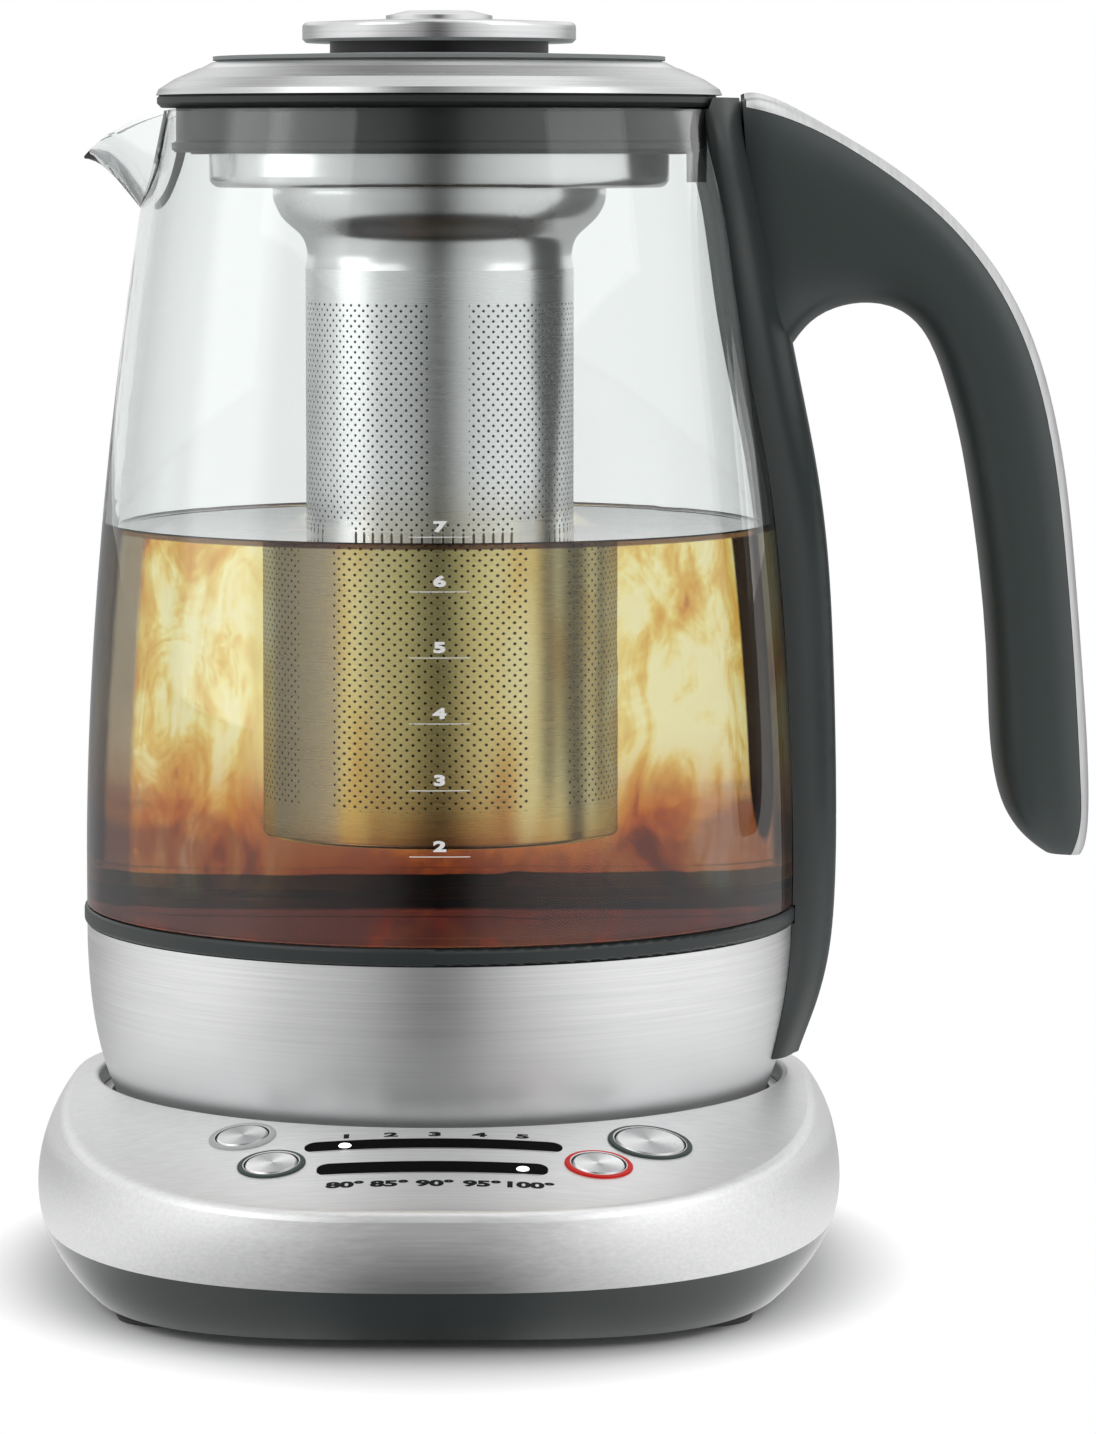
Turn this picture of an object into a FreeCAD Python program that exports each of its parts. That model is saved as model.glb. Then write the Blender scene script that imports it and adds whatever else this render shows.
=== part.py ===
import FreeCAD, Part
import math
import os

import Sketcher
from FreeCAD import Placement, Rotation, Vector

# Automatic tea maker: a glass jug with a heated foot, on a cordless base with a control panel.
# Millimetres. The jug's axis is the Z axis and the table is Z = 0. The panel faces -Y and the
# handle stands on the +X side.

doc = FreeCAD.newDocument("tea_maker")

# ---------------------------------------------------------------- driving dimensions

DIMENSIONS = {
    # overall: the jug's widest radius and the levels that the rest stands from
    "jug_radius": 66.5,
    "mouth_height": 34.5,
    "band_rise": 28.7,
    "glass_height": 151.2,
    "reach": 400.0,
    "fit": 0.1,
    "rest_gap": 0.3,
    "weld": 0.5,
    # base: a rounded form, deeper in front, under a shallow cone
    "base_side_margin": 8.5,
    "base_front_margin": 36.5,
    "base_back_margin": 10.5,
    "base_power": 2.5,
    "base_underside": 2.0,
    "base_seam_rise": 10.0,
    "base_widest_rise": 14.0,
    "base_top_margin": 1.5,
    "base_top_inset": 8.0,
    "base_foot_inset": 10.0,
    "flank_power": 2.4,
    "heel_power": 2.0,
    "heel_squaring": 0.9,
    "panel_fall": 0.235,
    "crease_round": 2.6,
    "cover_wall": 1.2,
    "skirt_wall": 2.0,
    "plate_thickness": 2.0,
    "mouth_step": 2.1,
    "mouth_round": 0.9,
    "mouth_collar_depth": 8.0,
    # feet and screws
    "foot_radius": 10.0,
    "foot_taper": 0.5,
    "foot_front_side": 28.0,
    "foot_front_inset": 39.0,
    "foot_back_side": 32.0,
    "foot_back_inset": 30.0,
    "screw_inset": 15.0,
    "screw_shank_radius": 1.4,
    "screw_head_radius": 2.8,
    "screw_head_height": 1.4,
    "screw_length": 10.0,
    "boss_radius": 4.2,
    # well and docking connector
    "well_gap": 1.2,
    "well_wall": 1.8,
    "well_drop": 4.1,
    "dock_column_radius": 9.2,
    "dock_collar_radius": 12.0,
    "dock_flange_radius": 15.0,
    "dock_flange_drop": 4.0,
    "dock_lift": 2.0,
    "dock_rise": 6.5,
    "dock_groove_inner": 4.0,
    "dock_groove_outer": 6.0,
    "dock_groove_depth": 7.0,
    "dock_pin_radius": 1.8,
    "dock_pin_height": 3.0,
    "dock_pin_chamfer": 0.65,
    # control panel: slots end short of the base's side, and all places are measured out from the
    # mouth; a button's turn is its angle from the front line, in degrees
    "slot_end_round": 2.1,
    "time_slot_side": 52.3,
    "time_slot_width": 4.4,
    "time_slot_out": 7.6,
    "heat_slot_side": 54.85,
    "heat_slot_width": 5.0,
    "heat_slot_out": 17.6,
    "temperature_turn": 19.87,
    "temperature_out": 18.86,
    "brew_time_turn": 27.87,
    "brew_time_out": 8.56,
    "start_timer_turn": 30.13,
    "start_timer_out": 11.91,
    "start_stop_turn": 20.39,
    "start_stop_out": 19.13,
    "window_extra": 0.6,
    "panel_datum": 10.0,
    "ring_lip": 0.55,
    "ring_proud": 0.35,
    "ring_chamfer": 0.2,
    "ring_sleeve": 0.6,
    "ring_depth": 3.2,
    "button_gap": 0.3,
    "button_proud": 0.45,
    "button_edge": 0.25,
    "button_body": 3.4,
    "button_reach": 6.7,
    "button_stem_radius": 2.0,
    "button_dish": 0.12,
    "small_ring_radius": 6.05,
    "large_ring_radius": 7.6,
    # control board and switches
    "board_depth": 12.4,
    "board_thickness": 1.6,
    "board_back_tuck": 1.8,
    "board_front_out": 24.6,
    "board_back_side": 30.0,
    "board_front_side": 38.0,
    "switch_side": 6.0,
    "switch_top": 8.1,
    "switch_plunger_radius": 1.5,
    "switch_plunger_height": 0.5,
    "board_post_radius": 2.6,
    "board_post_inset": 7.0,
    "board_post_side": 13.0,
    # power board and cord inlet
    "power_side_gap": 1.8,
    "power_width": 34.0,
    "power_inset": 33.0,
    "power_stand": 2.0,
    "power_headroom": 3.4,
    "relay_length": 19.0,
    "relay_width": 15.0,
    "choke_length": 14.0,
    "choke_width": 12.0,
    "capacitor_radius": 5.0,
    "part_inset": 6.0,
    "inlet_rise": 5.0,
    "inlet_bore": 2.6,
    "inlet_radius": 3.6,
    "inlet_flange": 4.4,
    "inlet_flange_thickness": 1.6,
    "inlet_round": 0.46,
    "inlet_length": 7.0,
    # jug foot: a steel bowl with the heater
    "bowl_drop": 13.5,
    "bowl_narrowing": 18.5,
    "bowl_power": 2.3,
    "band_wall": 0.8,
    "jug_bottom_thickness": 2.5,
    "jug_bottom_drop": 0.9,
    "socket_radius": 16.0,
    "socket_flange": 20.0,
    "socket_flange_thickness": 1.5,
    "socket_bore": 10.2,
    "socket_clearance": 1.5,
    "socket_roof": 3.0,
    "pin_hole_radius": 2.5,
    "heater_thickness": 1.4,
    "element_inset": 6.0,
    "element_tube": 3.4,
    "element_arc": 320.0,
    "element_pin_turn": 22.0,
    "element_pin_radius": 1.6,
    "element_pin_length": 9.0,
    "thermostat_gap": 23.0,
    "thermostat_height": 13.0,
    "thermostat_chamfer": 3.0,
    "sensor_radius": 4.0,
    "sensor_height": 8.0,
    "sensor_gap": 12.0,
    "gasket_height": 1.0,
    "collar_proud": 0.5,
    "collar_height": 3.2,
    "collar_round": 0.8,
    # glass
    "glass_wall": 2.5,
    "belly_rise": 10.8,
    "rim_draw_in": 14.0,
    "glass_power": 1.8,
    "glass_foot_step": 1.9,
    "glass_foot_rise": 1.2,
    "glass_shoulder_rise": 3.6,
    "spout_tip_step": 0.5,
    "spout_tip_drop": 9.0,
    "spout_root_step": 4.5,
    "spout_root_half": 17.0,
    "spout_tip_half": 3.4,
    "spout_root_drop": 24.4,
    # lid: radii are measured in from the glass rim's, heights from the rim
    "lid_bore_step": 9.3,
    "lid_neck_step": 6.3,
    "lid_neck_drop": 8.2,
    "lid_flange_step": 0.1,
    "lid_flange_height": 2.2,
    "lid_flange_round": 0.8,
    "lid_seat_gap": 0.4,
    "lid_ledge_step": 7.8,
    "lid_ledge_drop": 0.5,
    "lid_lip_proud": 0.1,
    "lid_lip_wall": 1.1,
    "lid_lip_height": 1.2,
    "lid_shoulder_run": 4.2,
    "lid_shoulder_fall": 1.9,
    "lid_brow_run": 3.5,
    "lid_steel": 0.8,
    "lid_rise": 7.6,
    "seal_step": 3.6,
    "seal_bead_step": 2.8,
    "seal_bead_height": 2.0,
    "seal_bead_round": 0.5,
    # rim clip
    "clip_half_width": 9.0,
    "clip_step": 5.8,
    "clip_thickness": 2.3,
    "clip_drop": 13.4,
    "clip_bridge": 1.3,
    "clip_notch_gap": 1.5,
    # basket
    "dish_gap": 0.4,
    "dish_wall": 0.8,
    "dish_drop": 14.4,
    "dish_round": 2.0,
    "dish_flange_gap": 0.3,
    "dish_flange_rise": 1.2,
    "funnel_step": 11.8,
    "funnel_flare": 6.0,
    "funnel_height": 15.0,
    "funnel_neck": 4.6,
    "tube_wall": 0.6,
    "tube_rise": 18.8,
    "tube_floor_height": 2.0,
    "tube_floor_web": 1.0,
    "tube_floor_round": 0.8,
    # basket cap
    "cap_thickness": 1.3,
    "cap_edge": 0.7,
    "cap_plug_gap": 0.6,
    "cap_plug_depth": 2.2,
    "cap_plug_wall": 1.6,
    "neck_radius": 20.3,
    "neck_height": 2.0,
    "knob_radius": 25.4,
    "knob_height": 4.3,
    "knob_round": 0.9,
    "knob_edge": 0.6,
    "dome_radius": 9.9,
    "dome_height": 1.6,
    "dome_seat": 1.2,
    "stud_radius": 3.0,
    "stud_head_radius": 6.0,
    "stud_head_height": 2.0,
    # handle
    "handle_half_depth": 12.0,
    "handle_power": 3.2,
    "handle_end_round": 4.0,
    "handle_clearance": 0.08,
    "handle_top_rise": 2.2,
    "handle_foot_drop": 24.6,
    "saddle_sink": 3.0,
    "trim_depth": 2.2,
    "trim_start_step": 9.7,
    "trim_tail": 20.0,
    "lid_path_gap": 0.5,
}

sheet = doc.addObject("Spreadsheet::Sheet", "Sizes")
for row, (name, value) in enumerate(DIMENSIONS.items(), start=1):
    sheet.set(f"A{row}", name)
    sheet.set(f"B{row}", str(value))
    sheet.setAlias(f"B{row}", name)
doc.recompute()


class Size(float):
    """A size with the sheet expression that gives it, so that sums of sizes stay bound."""

    def __new__(cls, value, text):
        size = float.__new__(cls, value)
        size.text = text
        return size

    def joined(self, sign, other, value):
        other_text = other.text if isinstance(other, Size) else repr(float(other))
        return Size(value, f"({self.text} {sign} {other_text})")

    def __add__(self, other):
        return self.joined("+", other, float(self) + float(other))

    def __sub__(self, other):
        return self.joined("-", other, float(self) - float(other))

    def __mul__(self, other):
        return self.joined("*", other, float(self) * float(other))

    def __truediv__(self, other):
        return self.joined("/", other, float(self) / float(other))

    def __rmul__(self, other):
        return self * other

    def __neg__(self):
        return Size(-float(self), f"(0 - {self.text})")


class Sizes:
    """Reads the sheet by name: size.fit is the cell with the alias fit."""

    def __getattr__(self, name):
        return Size(float(sheet.get(name)), f"Sizes.{name}")


size = Sizes()
pieces = {}

# ---------------------------------------------------------------- sizes that follow from those

# base
size.mouth_radius = size.jug_radius - size.mouth_step
size.base_half_width = size.jug_radius + size.base_side_margin
size.base_front = size.jug_radius + size.base_front_margin
size.base_back = size.jug_radius + size.base_back_margin
size.base_seam_height = size.base_underside + size.base_seam_rise
size.base_widest_height = size.base_underside + size.base_widest_rise
size.base_top_level = size.mouth_height + size.base_top_margin
size.plate_top = size.base_underside + size.plate_thickness
size.foot_front_x = size.base_half_width - size.foot_front_side
size.foot_front_y = size.base_front - size.foot_front_inset
size.foot_back_x = size.base_half_width - size.foot_back_side
size.foot_back_y = size.base_back - size.foot_back_inset

# control panel
size.time_slot_length = (size.base_half_width - size.time_slot_side) * 2
size.time_slot_y = size.mouth_radius + size.time_slot_out
size.heat_slot_length = (size.base_half_width - size.heat_slot_side) * 2
size.heat_slot_y = size.mouth_radius + size.heat_slot_out
size.board_back_y = size.mouth_radius - size.board_back_tuck
size.board_front_y = size.mouth_radius + size.board_front_out
size.board_back_half = size.base_half_width - size.board_back_side
size.board_front_half = size.base_half_width - size.board_front_side

# jug foot
size.band_radius = size.jug_radius
size.band_top = size.mouth_height + size.band_rise
size.bowl_bottom = size.mouth_height - size.bowl_drop
size.bowl_bottom_radius = size.jug_radius - size.bowl_narrowing
size.element_radius = size.bowl_bottom_radius - size.element_inset
size.thermostat_radius = size.element_radius - size.thermostat_gap
size.sensor_x = size.element_radius - size.sensor_gap
size.collar_radius = size.jug_radius + size.collar_proud

# well, docking connector, screws and power board
size.well_top = size.mouth_height - size.well_drop
size.well_floor_top = size.bowl_bottom - size.well_gap
size.well_floor_bottom = size.well_floor_top - size.well_wall
size.dock_bottom = size.plate_top + size.dock_lift
size.dock_top = size.bowl_bottom + size.dock_rise
size.socket_ceiling = size.dock_top + size.socket_clearance
size.socket_top = size.socket_ceiling + size.socket_roof
size.screw_place = size.bowl_bottom_radius - size.screw_inset
size.power_length = (size.screw_place - size.boss_radius - size.power_side_gap) * 2
size.power_y = size.base_back - size.power_inset
size.power_top = size.plate_top + size.power_stand + size.board_thickness
size.relay_height = size.well_floor_bottom - size.power_top - size.power_headroom
size.inlet_height = size.base_underside + size.inlet_rise

# glass
size.glass_belly_radius = size.jug_radius
size.glass_belly_height = size.band_top + size.belly_rise
size.glass_rim_radius = size.jug_radius - size.rim_draw_in
size.glass_rim_height = size.band_top + size.glass_height
size.glass_foot_radius = size.jug_radius - size.glass_foot_step
size.glass_foot_height = size.band_top + size.glass_foot_rise
size.glass_shoulder_height = size.band_top + size.glass_shoulder_rise
size.spout_tip_x = size.jug_radius - size.spout_tip_step
size.spout_tip_height = size.glass_rim_height - size.spout_tip_drop
size.spout_root_x = size.glass_rim_radius - size.spout_root_step
size.spout_root_bottom = size.glass_rim_height - size.spout_root_drop

# lid and rim clip
size.lid_bore = size.glass_rim_radius - size.lid_bore_step
size.lid_neck_radius = size.glass_rim_radius - size.lid_neck_step
size.lid_neck_bottom = size.glass_rim_height - size.lid_neck_drop
size.lid_flange_radius = size.glass_rim_radius - size.lid_flange_step
size.lid_flange_low = size.glass_rim_height + size.lid_seat_gap
size.lid_flange_high = size.lid_flange_low + size.lid_flange_height
size.lid_ledge_radius = size.glass_rim_radius - size.lid_ledge_step
size.lid_lip_radius = size.glass_rim_radius + size.lid_lip_proud
size.lid_ring_top = size.glass_rim_height + size.lid_rise
size.lid_path_radius = size.lid_lip_radius + size.lid_path_gap
size.seal_radius = size.glass_rim_radius - size.seal_step
size.seal_bead_radius = size.glass_rim_radius - size.seal_bead_step
size.clip_inner_x = size.glass_rim_radius - size.clip_step
size.clip_bottom = size.glass_rim_height - size.clip_drop

# basket and cap
size.dish_radius = size.lid_bore - size.dish_gap
size.dish_bottom = size.glass_rim_height - size.dish_drop
size.dish_flange_radius = size.lid_ledge_radius - size.dish_flange_gap
size.dish_flange_top = size.lid_ring_top + size.dish_flange_rise
size.funnel_top_radius = size.dish_radius - size.funnel_step
size.tube_radius = size.funnel_top_radius - size.funnel_flare
size.tube_top = size.dish_bottom - size.funnel_height
size.tube_bottom = size.band_top + size.tube_rise
size.cap_radius = size.dish_radius - size.dish_wall
size.cap_plug_radius = size.cap_radius - size.cap_plug_gap

# handle
size.handle_top = size.glass_rim_height + size.handle_top_rise
size.handle_foot = size.band_top - size.handle_foot_drop
size.trim_start_x = size.jug_radius - size.trim_start_step


# ---------------------------------------------------------------- ways of making a piece


def keep(name, piece):
    """Give a finished piece its name."""
    piece.Label = name
    pieces[name] = piece
    return piece


def bind(target, **values):
    """Set properties of an object, bound to the sheet where the value is a Size."""
    for name, value in values.items():
        setattr(target, name, float(value))
        if isinstance(value, Size):
            target.setExpression(name, value.text)
    return target


def move_to(target, x=0.0, y=0.0, z=0.0):
    """Place an object, bound to the sheet where a coordinate is a Size."""
    target.Placement.Base = Vector(float(x), float(y), float(z))
    for axis, value in (("x", x), ("y", y), ("z", z)):
        if isinstance(value, Size):
            target.setExpression(f"Placement.Base.{axis}", value.text)
    return target


def origin_plane(body, role):
    """The plane of a body's own origin that has this role."""
    return [part for part in body.Origin.OriginFeatures if part.Role == role][0]


def draw_outline(sketch, corners):
    """Draw a closed outline in a sketch, each corner held by sheet values."""
    count = len(corners)
    for index, corner in enumerate(corners):
        ahead = corners[(index + 1) % count]
        sketch.addGeometry(Part.LineSegment(Vector(*corner, 0), Vector(*ahead, 0)), False)
    rules = []
    names = []
    for index in range(count):
        rules.append(Sketcher.Constraint("Coincident", index, 2, (index + 1) % count, 1))
        names.append(None)
    for index, corner in enumerate(corners):
        for value, kind, axis in zip(corner, ("DistanceX", "DistanceY"), (-2, -1)):
            if float(value) == 0.0:
                rules.append(Sketcher.Constraint("PointOnObject", index, 1, axis))
                names.append(None)
            else:
                rules.append(Sketcher.Constraint(kind, -1, 1, index, 1, float(value)))
                names.append((f"{kind}{index}", value))
    sketch.addConstraint(rules)
    for place, named in enumerate(names):
        if named and isinstance(named[1], Size):
            sketch.renameConstraint(place, named[0])
            sketch.setExpression(f"Constraints.{named[0]}", named[1].text)


def new_sketch(body, role):
    """A sketch on one of the body's own origin planes."""
    sketch = body.newObject("Sketcher::SketchObject", body.Name + "_outline")
    sketch.AttachmentSupport = (origin_plane(body, role), [""])
    sketch.MapMode = "FlatFace"
    return sketch


def round_corners(body, feature, corners, rounds):
    """Round the turned corners whose numbers are given, radius by radius."""
    for radius, numbers in rounds:
        doc.recompute()
        names = []
        for number, edge in enumerate(feature.Shape.Edges, start=1):
            if not isinstance(edge.Curve, Part.Circle):
                continue
            for corner in numbers:
                same_radius = abs(edge.Curve.Radius - corners[corner][0]) < 1e-4
                same_height = abs(edge.Curve.Center.z - corners[corner][1]) < 1e-4
                if same_radius and same_height:
                    names.append(f"Edge{number}")
        fillet = body.newObject("PartDesign::Fillet", body.Name + "_round")
        fillet.Base = (feature, names)
        bind(fillet, Radius=radius)
        body.Tip = fillet
        feature = fillet
    return body


def turned(name, corners, rounds=()):
    """A body turned about its Z axis from (radius, height) corners."""
    body = doc.addObject("PartDesign::Body", name)
    sketch = new_sketch(body, "XZ_Plane")
    draw_outline(sketch, corners)
    turn = body.newObject("PartDesign::Revolution", name + "_turn")
    turn.Profile = sketch
    turn.ReferenceAxis = (sketch, ["V_Axis"])
    turn.Angle = 360.0
    body.Tip = turn
    return round_corners(body, turn, corners, rounds)


def padded(name, corners, height):
    """A body raised from (x, y) corners on its XY plane."""
    body = doc.addObject("PartDesign::Body", name)
    sketch = new_sketch(body, "XY_Plane")
    draw_outline(sketch, corners)
    pad = body.newObject("PartDesign::Pad", name + "_pad")
    pad.Profile = sketch
    bind(pad, Length=height)
    body.Tip = pad
    return body


def cylinder(name, radius, height, x=0.0, y=0.0, z=0.0):
    """An upright round bar that stands on z."""
    bar = doc.addObject("Part::Cylinder", name)
    bind(bar, Radius=radius, Height=height)
    return move_to(bar, x, y, z)


def box(name, low, length, width, height):
    """A box from its low corner."""
    block = doc.addObject("Part::Box", name)
    bind(block, Length=length, Width=width, Height=height)
    return move_to(block, *low)


def joined(name, shapes):
    """Several objects fused into one."""
    fused = doc.addObject("Part::MultiFuse", name)
    fused.Shapes = shapes
    return fused


def cut(name, body, tool):
    """One object with another taken out of it."""
    result = doc.addObject("Part::Cut", name)
    result.Base = body
    result.Tool = tool
    return result


def shaped(name, shape):
    """A free-form piece whose shape is worked out below."""
    feature = doc.addObject("Part::Feature", name)
    feature.Shape = shape
    return keep(name, feature)


# ---------------------------------------------------------------- curves shared by the pieces


def superellipse(across, along, power, turn):
    """The point of a superellipse at the angle turn, in radians."""
    cosine, sine = math.cos(turn), math.sin(turn)
    x = across * math.copysign(abs(cosine) ** (2.0 / power), cosine)
    y = along * math.copysign(abs(sine) ** (2.0 / power), sine)
    return x, y


def closed_curve(points):
    """A smooth closed wire through the points."""
    curve = Part.BSplineCurve()
    curve.interpolate(points, PeriodicFlag=True)
    return Part.Wire(curve.toShape())


def open_curve(points):
    """A smooth edge through the points."""
    curve = Part.BSplineCurve()
    curve.interpolate(points)
    return curve.toShape()


def spun(edges):
    """The solid that a closed outline in the XZ plane makes when it turns about Z."""
    face = Part.Face(Part.Wire(edges))
    return face.revolve(Vector(0, 0, 0), Vector(0, 0, 1), 360)


def spun_under(curve_points):
    """The solid between the Z axis and a smooth curve of (radius, height) points."""
    points = [Vector(radius, 0, height) for radius, height in curve_points]
    bottom = Vector(0, 0, points[0].z)
    top = Vector(0, 0, points[-1].z)
    edges = [
        Part.makeLine(bottom, points[0]),
        open_curve(points),
        Part.makeLine(points[-1], top),
        Part.makeLine(top, bottom),
    ]
    return spun(edges)


def skin(rings):
    """The solid whose smooth skin passes through rings of points, with flat ends."""
    surface = Part.BSplineSurface()
    surface.interpolate([ring_points + ring_points[:1] for ring_points in rings])
    side = surface.toShape()
    ends = [Part.Face(Part.Wire(edge)) for edge in side.Edges if edge.isClosed()]
    shell = Part.Shell([side] + ends)
    shell.sewShape()
    solid = Part.Solid(shell)
    if solid.Volume < 0:
        solid.reverse()
    return solid


def slab(low, high):
    """Everything between two heights, wide enough for the whole object."""
    reach = size.reach
    return Part.makeBox(reach, reach, high - low, Vector(-reach / 2, -reach / 2, low))


def above(low):
    """Everything above a height."""
    return slab(low, low + size.reach)


def ring(inner, outer, low, high):
    """A plain upright ring."""
    outside = Part.makeCylinder(outer, high - low, Vector(0, 0, low))
    return outside.cut(Part.makeCylinder(inner, high - low, Vector(0, 0, low)))


# ---------------------------------------------------------------- base


def side_inset(height):
    """How far the base's side stands in from its widest line at a height."""
    if height > size.base_widest_height:
        rise = (height - size.base_widest_height) / (size.base_top_level - size.base_widest_height)
        return size.base_top_inset * rise ** float(size.flank_power)
    fall = (size.base_widest_height - height) / (size.base_widest_height - size.base_underside)
    return size.base_foot_inset * fall ** float(size.heel_power)


def base_section(inset, height):
    """The base's outline at a height: one superellipse in front, a shorter one at the back. Under
    its widest line the outline grows squarer."""
    heel = size.base_widest_height - size.base_underside
    fall = max(0.0, (size.base_widest_height - height) / heel)
    power = size.base_power + size.heel_squaring * fall**2
    points = []
    steps = 28
    for step in range(steps):
        turn = 2 * math.pi * step / steps
        depth = size.base_front if math.sin(turn) < 0 else size.base_back
        x, y = superellipse(size.base_half_width - inset, depth - inset, power, turn)
        points.append(Vector(x, y, height))
    return closed_curve(points)


def panel_height(radius):
    """Height of the panel's cone at a distance from the jug's axis."""
    return float(size.mouth_height - size.panel_fall * (radius - size.mouth_radius))


def under_panel(drop):
    """The solid cone under the panel's surface, lowered by drop."""
    peak = panel_height(0.0) - drop
    reach = peak / size.panel_fall
    return Part.makeCone(reach, 0, peak, Vector(0, 0, 0))


def base_form(inset, rounded):
    """The base's outer form, drawn in by inset, with its crease rounded if asked."""
    low, widest = float(size.base_underside), float(size.base_widest_height)
    high = float(size.base_top_level + size.base_top_margin)
    # shares of the way up to the widest line, and from there to the top
    levels = [low + (widest - low) * share for share in (0.0, 0.09, 0.23, 0.5, 1.0)]
    levels += [widest + (high - widest) * share for share in (0.33, 0.57, 0.78, 1.0)]
    sections = [base_section(side_inset(level) + inset, level) for level in levels]
    form = Part.makeLoft(sections, True, False).common(under_panel(inset))
    if not rounded:
        return form
    crease = []
    for edge in form.Edges:
        middle = edge.valueAt((edge.FirstParameter + edge.LastParameter) / 2)
        on_panel = abs(middle.z - panel_height(math.hypot(middle.x, middle.y))) < 0.05
        if on_panel and edge.Length > size.base_half_width:
            crease.append(edge)
    return form.makeFillet(float(size.crease_round), crease)


def panel_placement(x, y, level):
    """Placement whose Z axis stands square on the panel at (x, y), level above its surface."""
    radius = math.hypot(x, y)
    slope = math.atan(size.panel_fall)
    outward = Vector(x / radius, y / radius, 0)
    normal = outward * math.sin(slope) + Vector(0, 0, math.cos(slope))
    place = Vector(x, y, panel_height(radius)) + normal * level
    return Placement(place, Rotation(Vector(0, 0, 1), normal))


def button_places():
    """Name, place on the panel and ring size of each button: two stand left, two right."""
    buttons = (
        ("temperature", -size.temperature_turn, size.temperature_out, size.small_ring_radius),
        ("brew_time", -size.brew_time_turn, size.brew_time_out, size.small_ring_radius),
        ("start_timer", size.start_timer_turn, size.start_timer_out, size.large_ring_radius),
        ("start_stop", size.start_stop_turn, size.start_stop_out, size.small_ring_radius),
    )
    places = []
    for name, degrees, out, ring_radius in buttons:
        turn, distance = math.radians(degrees), float(size.mouth_radius + out)
        places.append((name, distance * math.sin(turn), -distance * math.cos(turn), ring_radius))
    return places


def slot_solid(length, width, y, grow):
    """An upright prism in the outline of a display slot, larger all round by grow."""
    half = length / 2 + grow
    side = width / 2 + grow
    corner = float(size.slot_end_round + grow) if size.slot_end_round < width / 2 else side * 0.98
    block = Part.makeBox(2 * half, 2 * side, size.base_top_level, Vector(-half, -y - side, 0))
    upright = [edge for edge in block.Edges if abs(edge.tangentAt(edge.FirstParameter).z) > 0.5]
    return block.makeFillet(corner, upright)


SLOTS = (
    ("time_window", size.time_slot_length, size.time_slot_width, size.time_slot_y),
    ("heat_window", size.heat_slot_length, size.heat_slot_width, size.heat_slot_y),
)


def build_cover():
    """The brushed steel cover: a shell with a rolled mouth, button holes and two slots."""
    outside = base_form(0.0, True)
    inside = base_form(size.cover_wall, False)
    mouth = Part.makeCylinder(size.mouth_radius, size.base_top_level)
    collar_bottom = size.mouth_height - size.mouth_collar_depth
    collar = ring(
        0.1, size.mouth_radius + size.cover_wall, collar_bottom, size.base_top_level
    )
    cover = outside.cut(inside.cut(collar)).cut(mouth)
    cover = cover.common(slab(size.base_seam_height, size.base_top_level))
    for name, x, y, radius in button_places():
        hole = Part.makeCylinder(radius - size.ring_lip + size.fit, size.mouth_collar_depth)
        hole.Placement = panel_placement(x, y, -size.mouth_collar_depth / 2)
        cover = cover.cut(hole)
    for name, length, width, y in SLOTS:
        cover = cover.cut(slot_solid(length, width, y, size.fit))
    edges = [
        edge
        for edge in cover.Edges
        if isinstance(edge.Curve, Part.Circle)
        and abs(edge.Curve.Radius - size.mouth_radius) < 1e-3
        and edge.Curve.Center.z > size.mouth_height - 0.01
    ]
    cover = cover.makeFillet(float(size.mouth_round), edges)
    shaped("base_cover", cover)


def build_windows():
    """Glossy windows that fill the slots flush with the panel."""
    panel_skin = under_panel(0.0).cut(under_panel(size.cover_wall + size.window_extra))
    for name, length, width, y in SLOTS:
        shaped(name, slot_solid(length, width, y, 0.0).common(panel_skin))


def build_skirt():
    """The plastic skirt under the cover, with the hole of the cord inlet."""
    outside = base_form(0.0, False)
    skirt = outside.cut(base_form(size.skirt_wall, False))
    skirt = skirt.common(slab(size.base_underside, size.base_seam_height))
    hole = Part.makeCylinder(
        size.inlet_radius + size.fit,
        size.base_back,
        Vector(0, size.base_back / 2, size.inlet_height),
        Vector(0, 1, 0),
    )
    shaped("base_skirt", skirt.cut(hole))


def screw_places():
    """The four screw axes, on the diagonals under the well."""
    return [(x * size.screw_place, y * size.screw_place) for x in (-1, 1) for y in (-1, 1)]


def board_plane_height(y):
    """Height of the control board's upper face at a depth y in front of the axis."""
    return panel_height(-y) - float(size.board_depth)


def build_plate():
    """The bottom plate, with screw holes, posts for the boards and seats for the feet."""
    edge_inset = size.base_foot_inset + size.skirt_wall + size.rest_gap
    outline = Part.Face(base_section(float(edge_inset), float(size.base_underside)))
    plate = outline.extrude(Vector(0, 0, size.plate_thickness))
    top, sink = size.plate_top, size.weld
    for x, y in screw_places():
        hole = Part.makeCylinder(
            size.screw_shank_radius + size.fit, size.base_top_level, Vector(x, y, 0)
        )
        plate = plate.cut(hole)
    for x in (-1, 1):
        for y in (size.board_back_y + size.board_post_inset, size.board_front_y - size.board_post_inset):
            post_x = x * (size.board_front_half - size.board_post_side)
            tilt = size.board_post_radius * size.panel_fall
            reach = board_plane_height(-float(y)) - size.board_thickness - tilt - size.rest_gap - top
            post = Part.makeCylinder(
                size.board_post_radius, reach + sink, Vector(post_x, -y, top - sink)
            )
            plate = plate.fuse(post)
        for y in (size.power_y - size.power_width / 3, size.power_y + size.power_width / 3):
            post_x = x * size.power_length / 3
            post = Part.makeCylinder(
                size.board_post_radius, size.power_stand + sink, Vector(post_x, y, top - sink)
            )
            plate = plate.fuse(post)
    shaped("base_plate", plate.removeSplitter())


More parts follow.
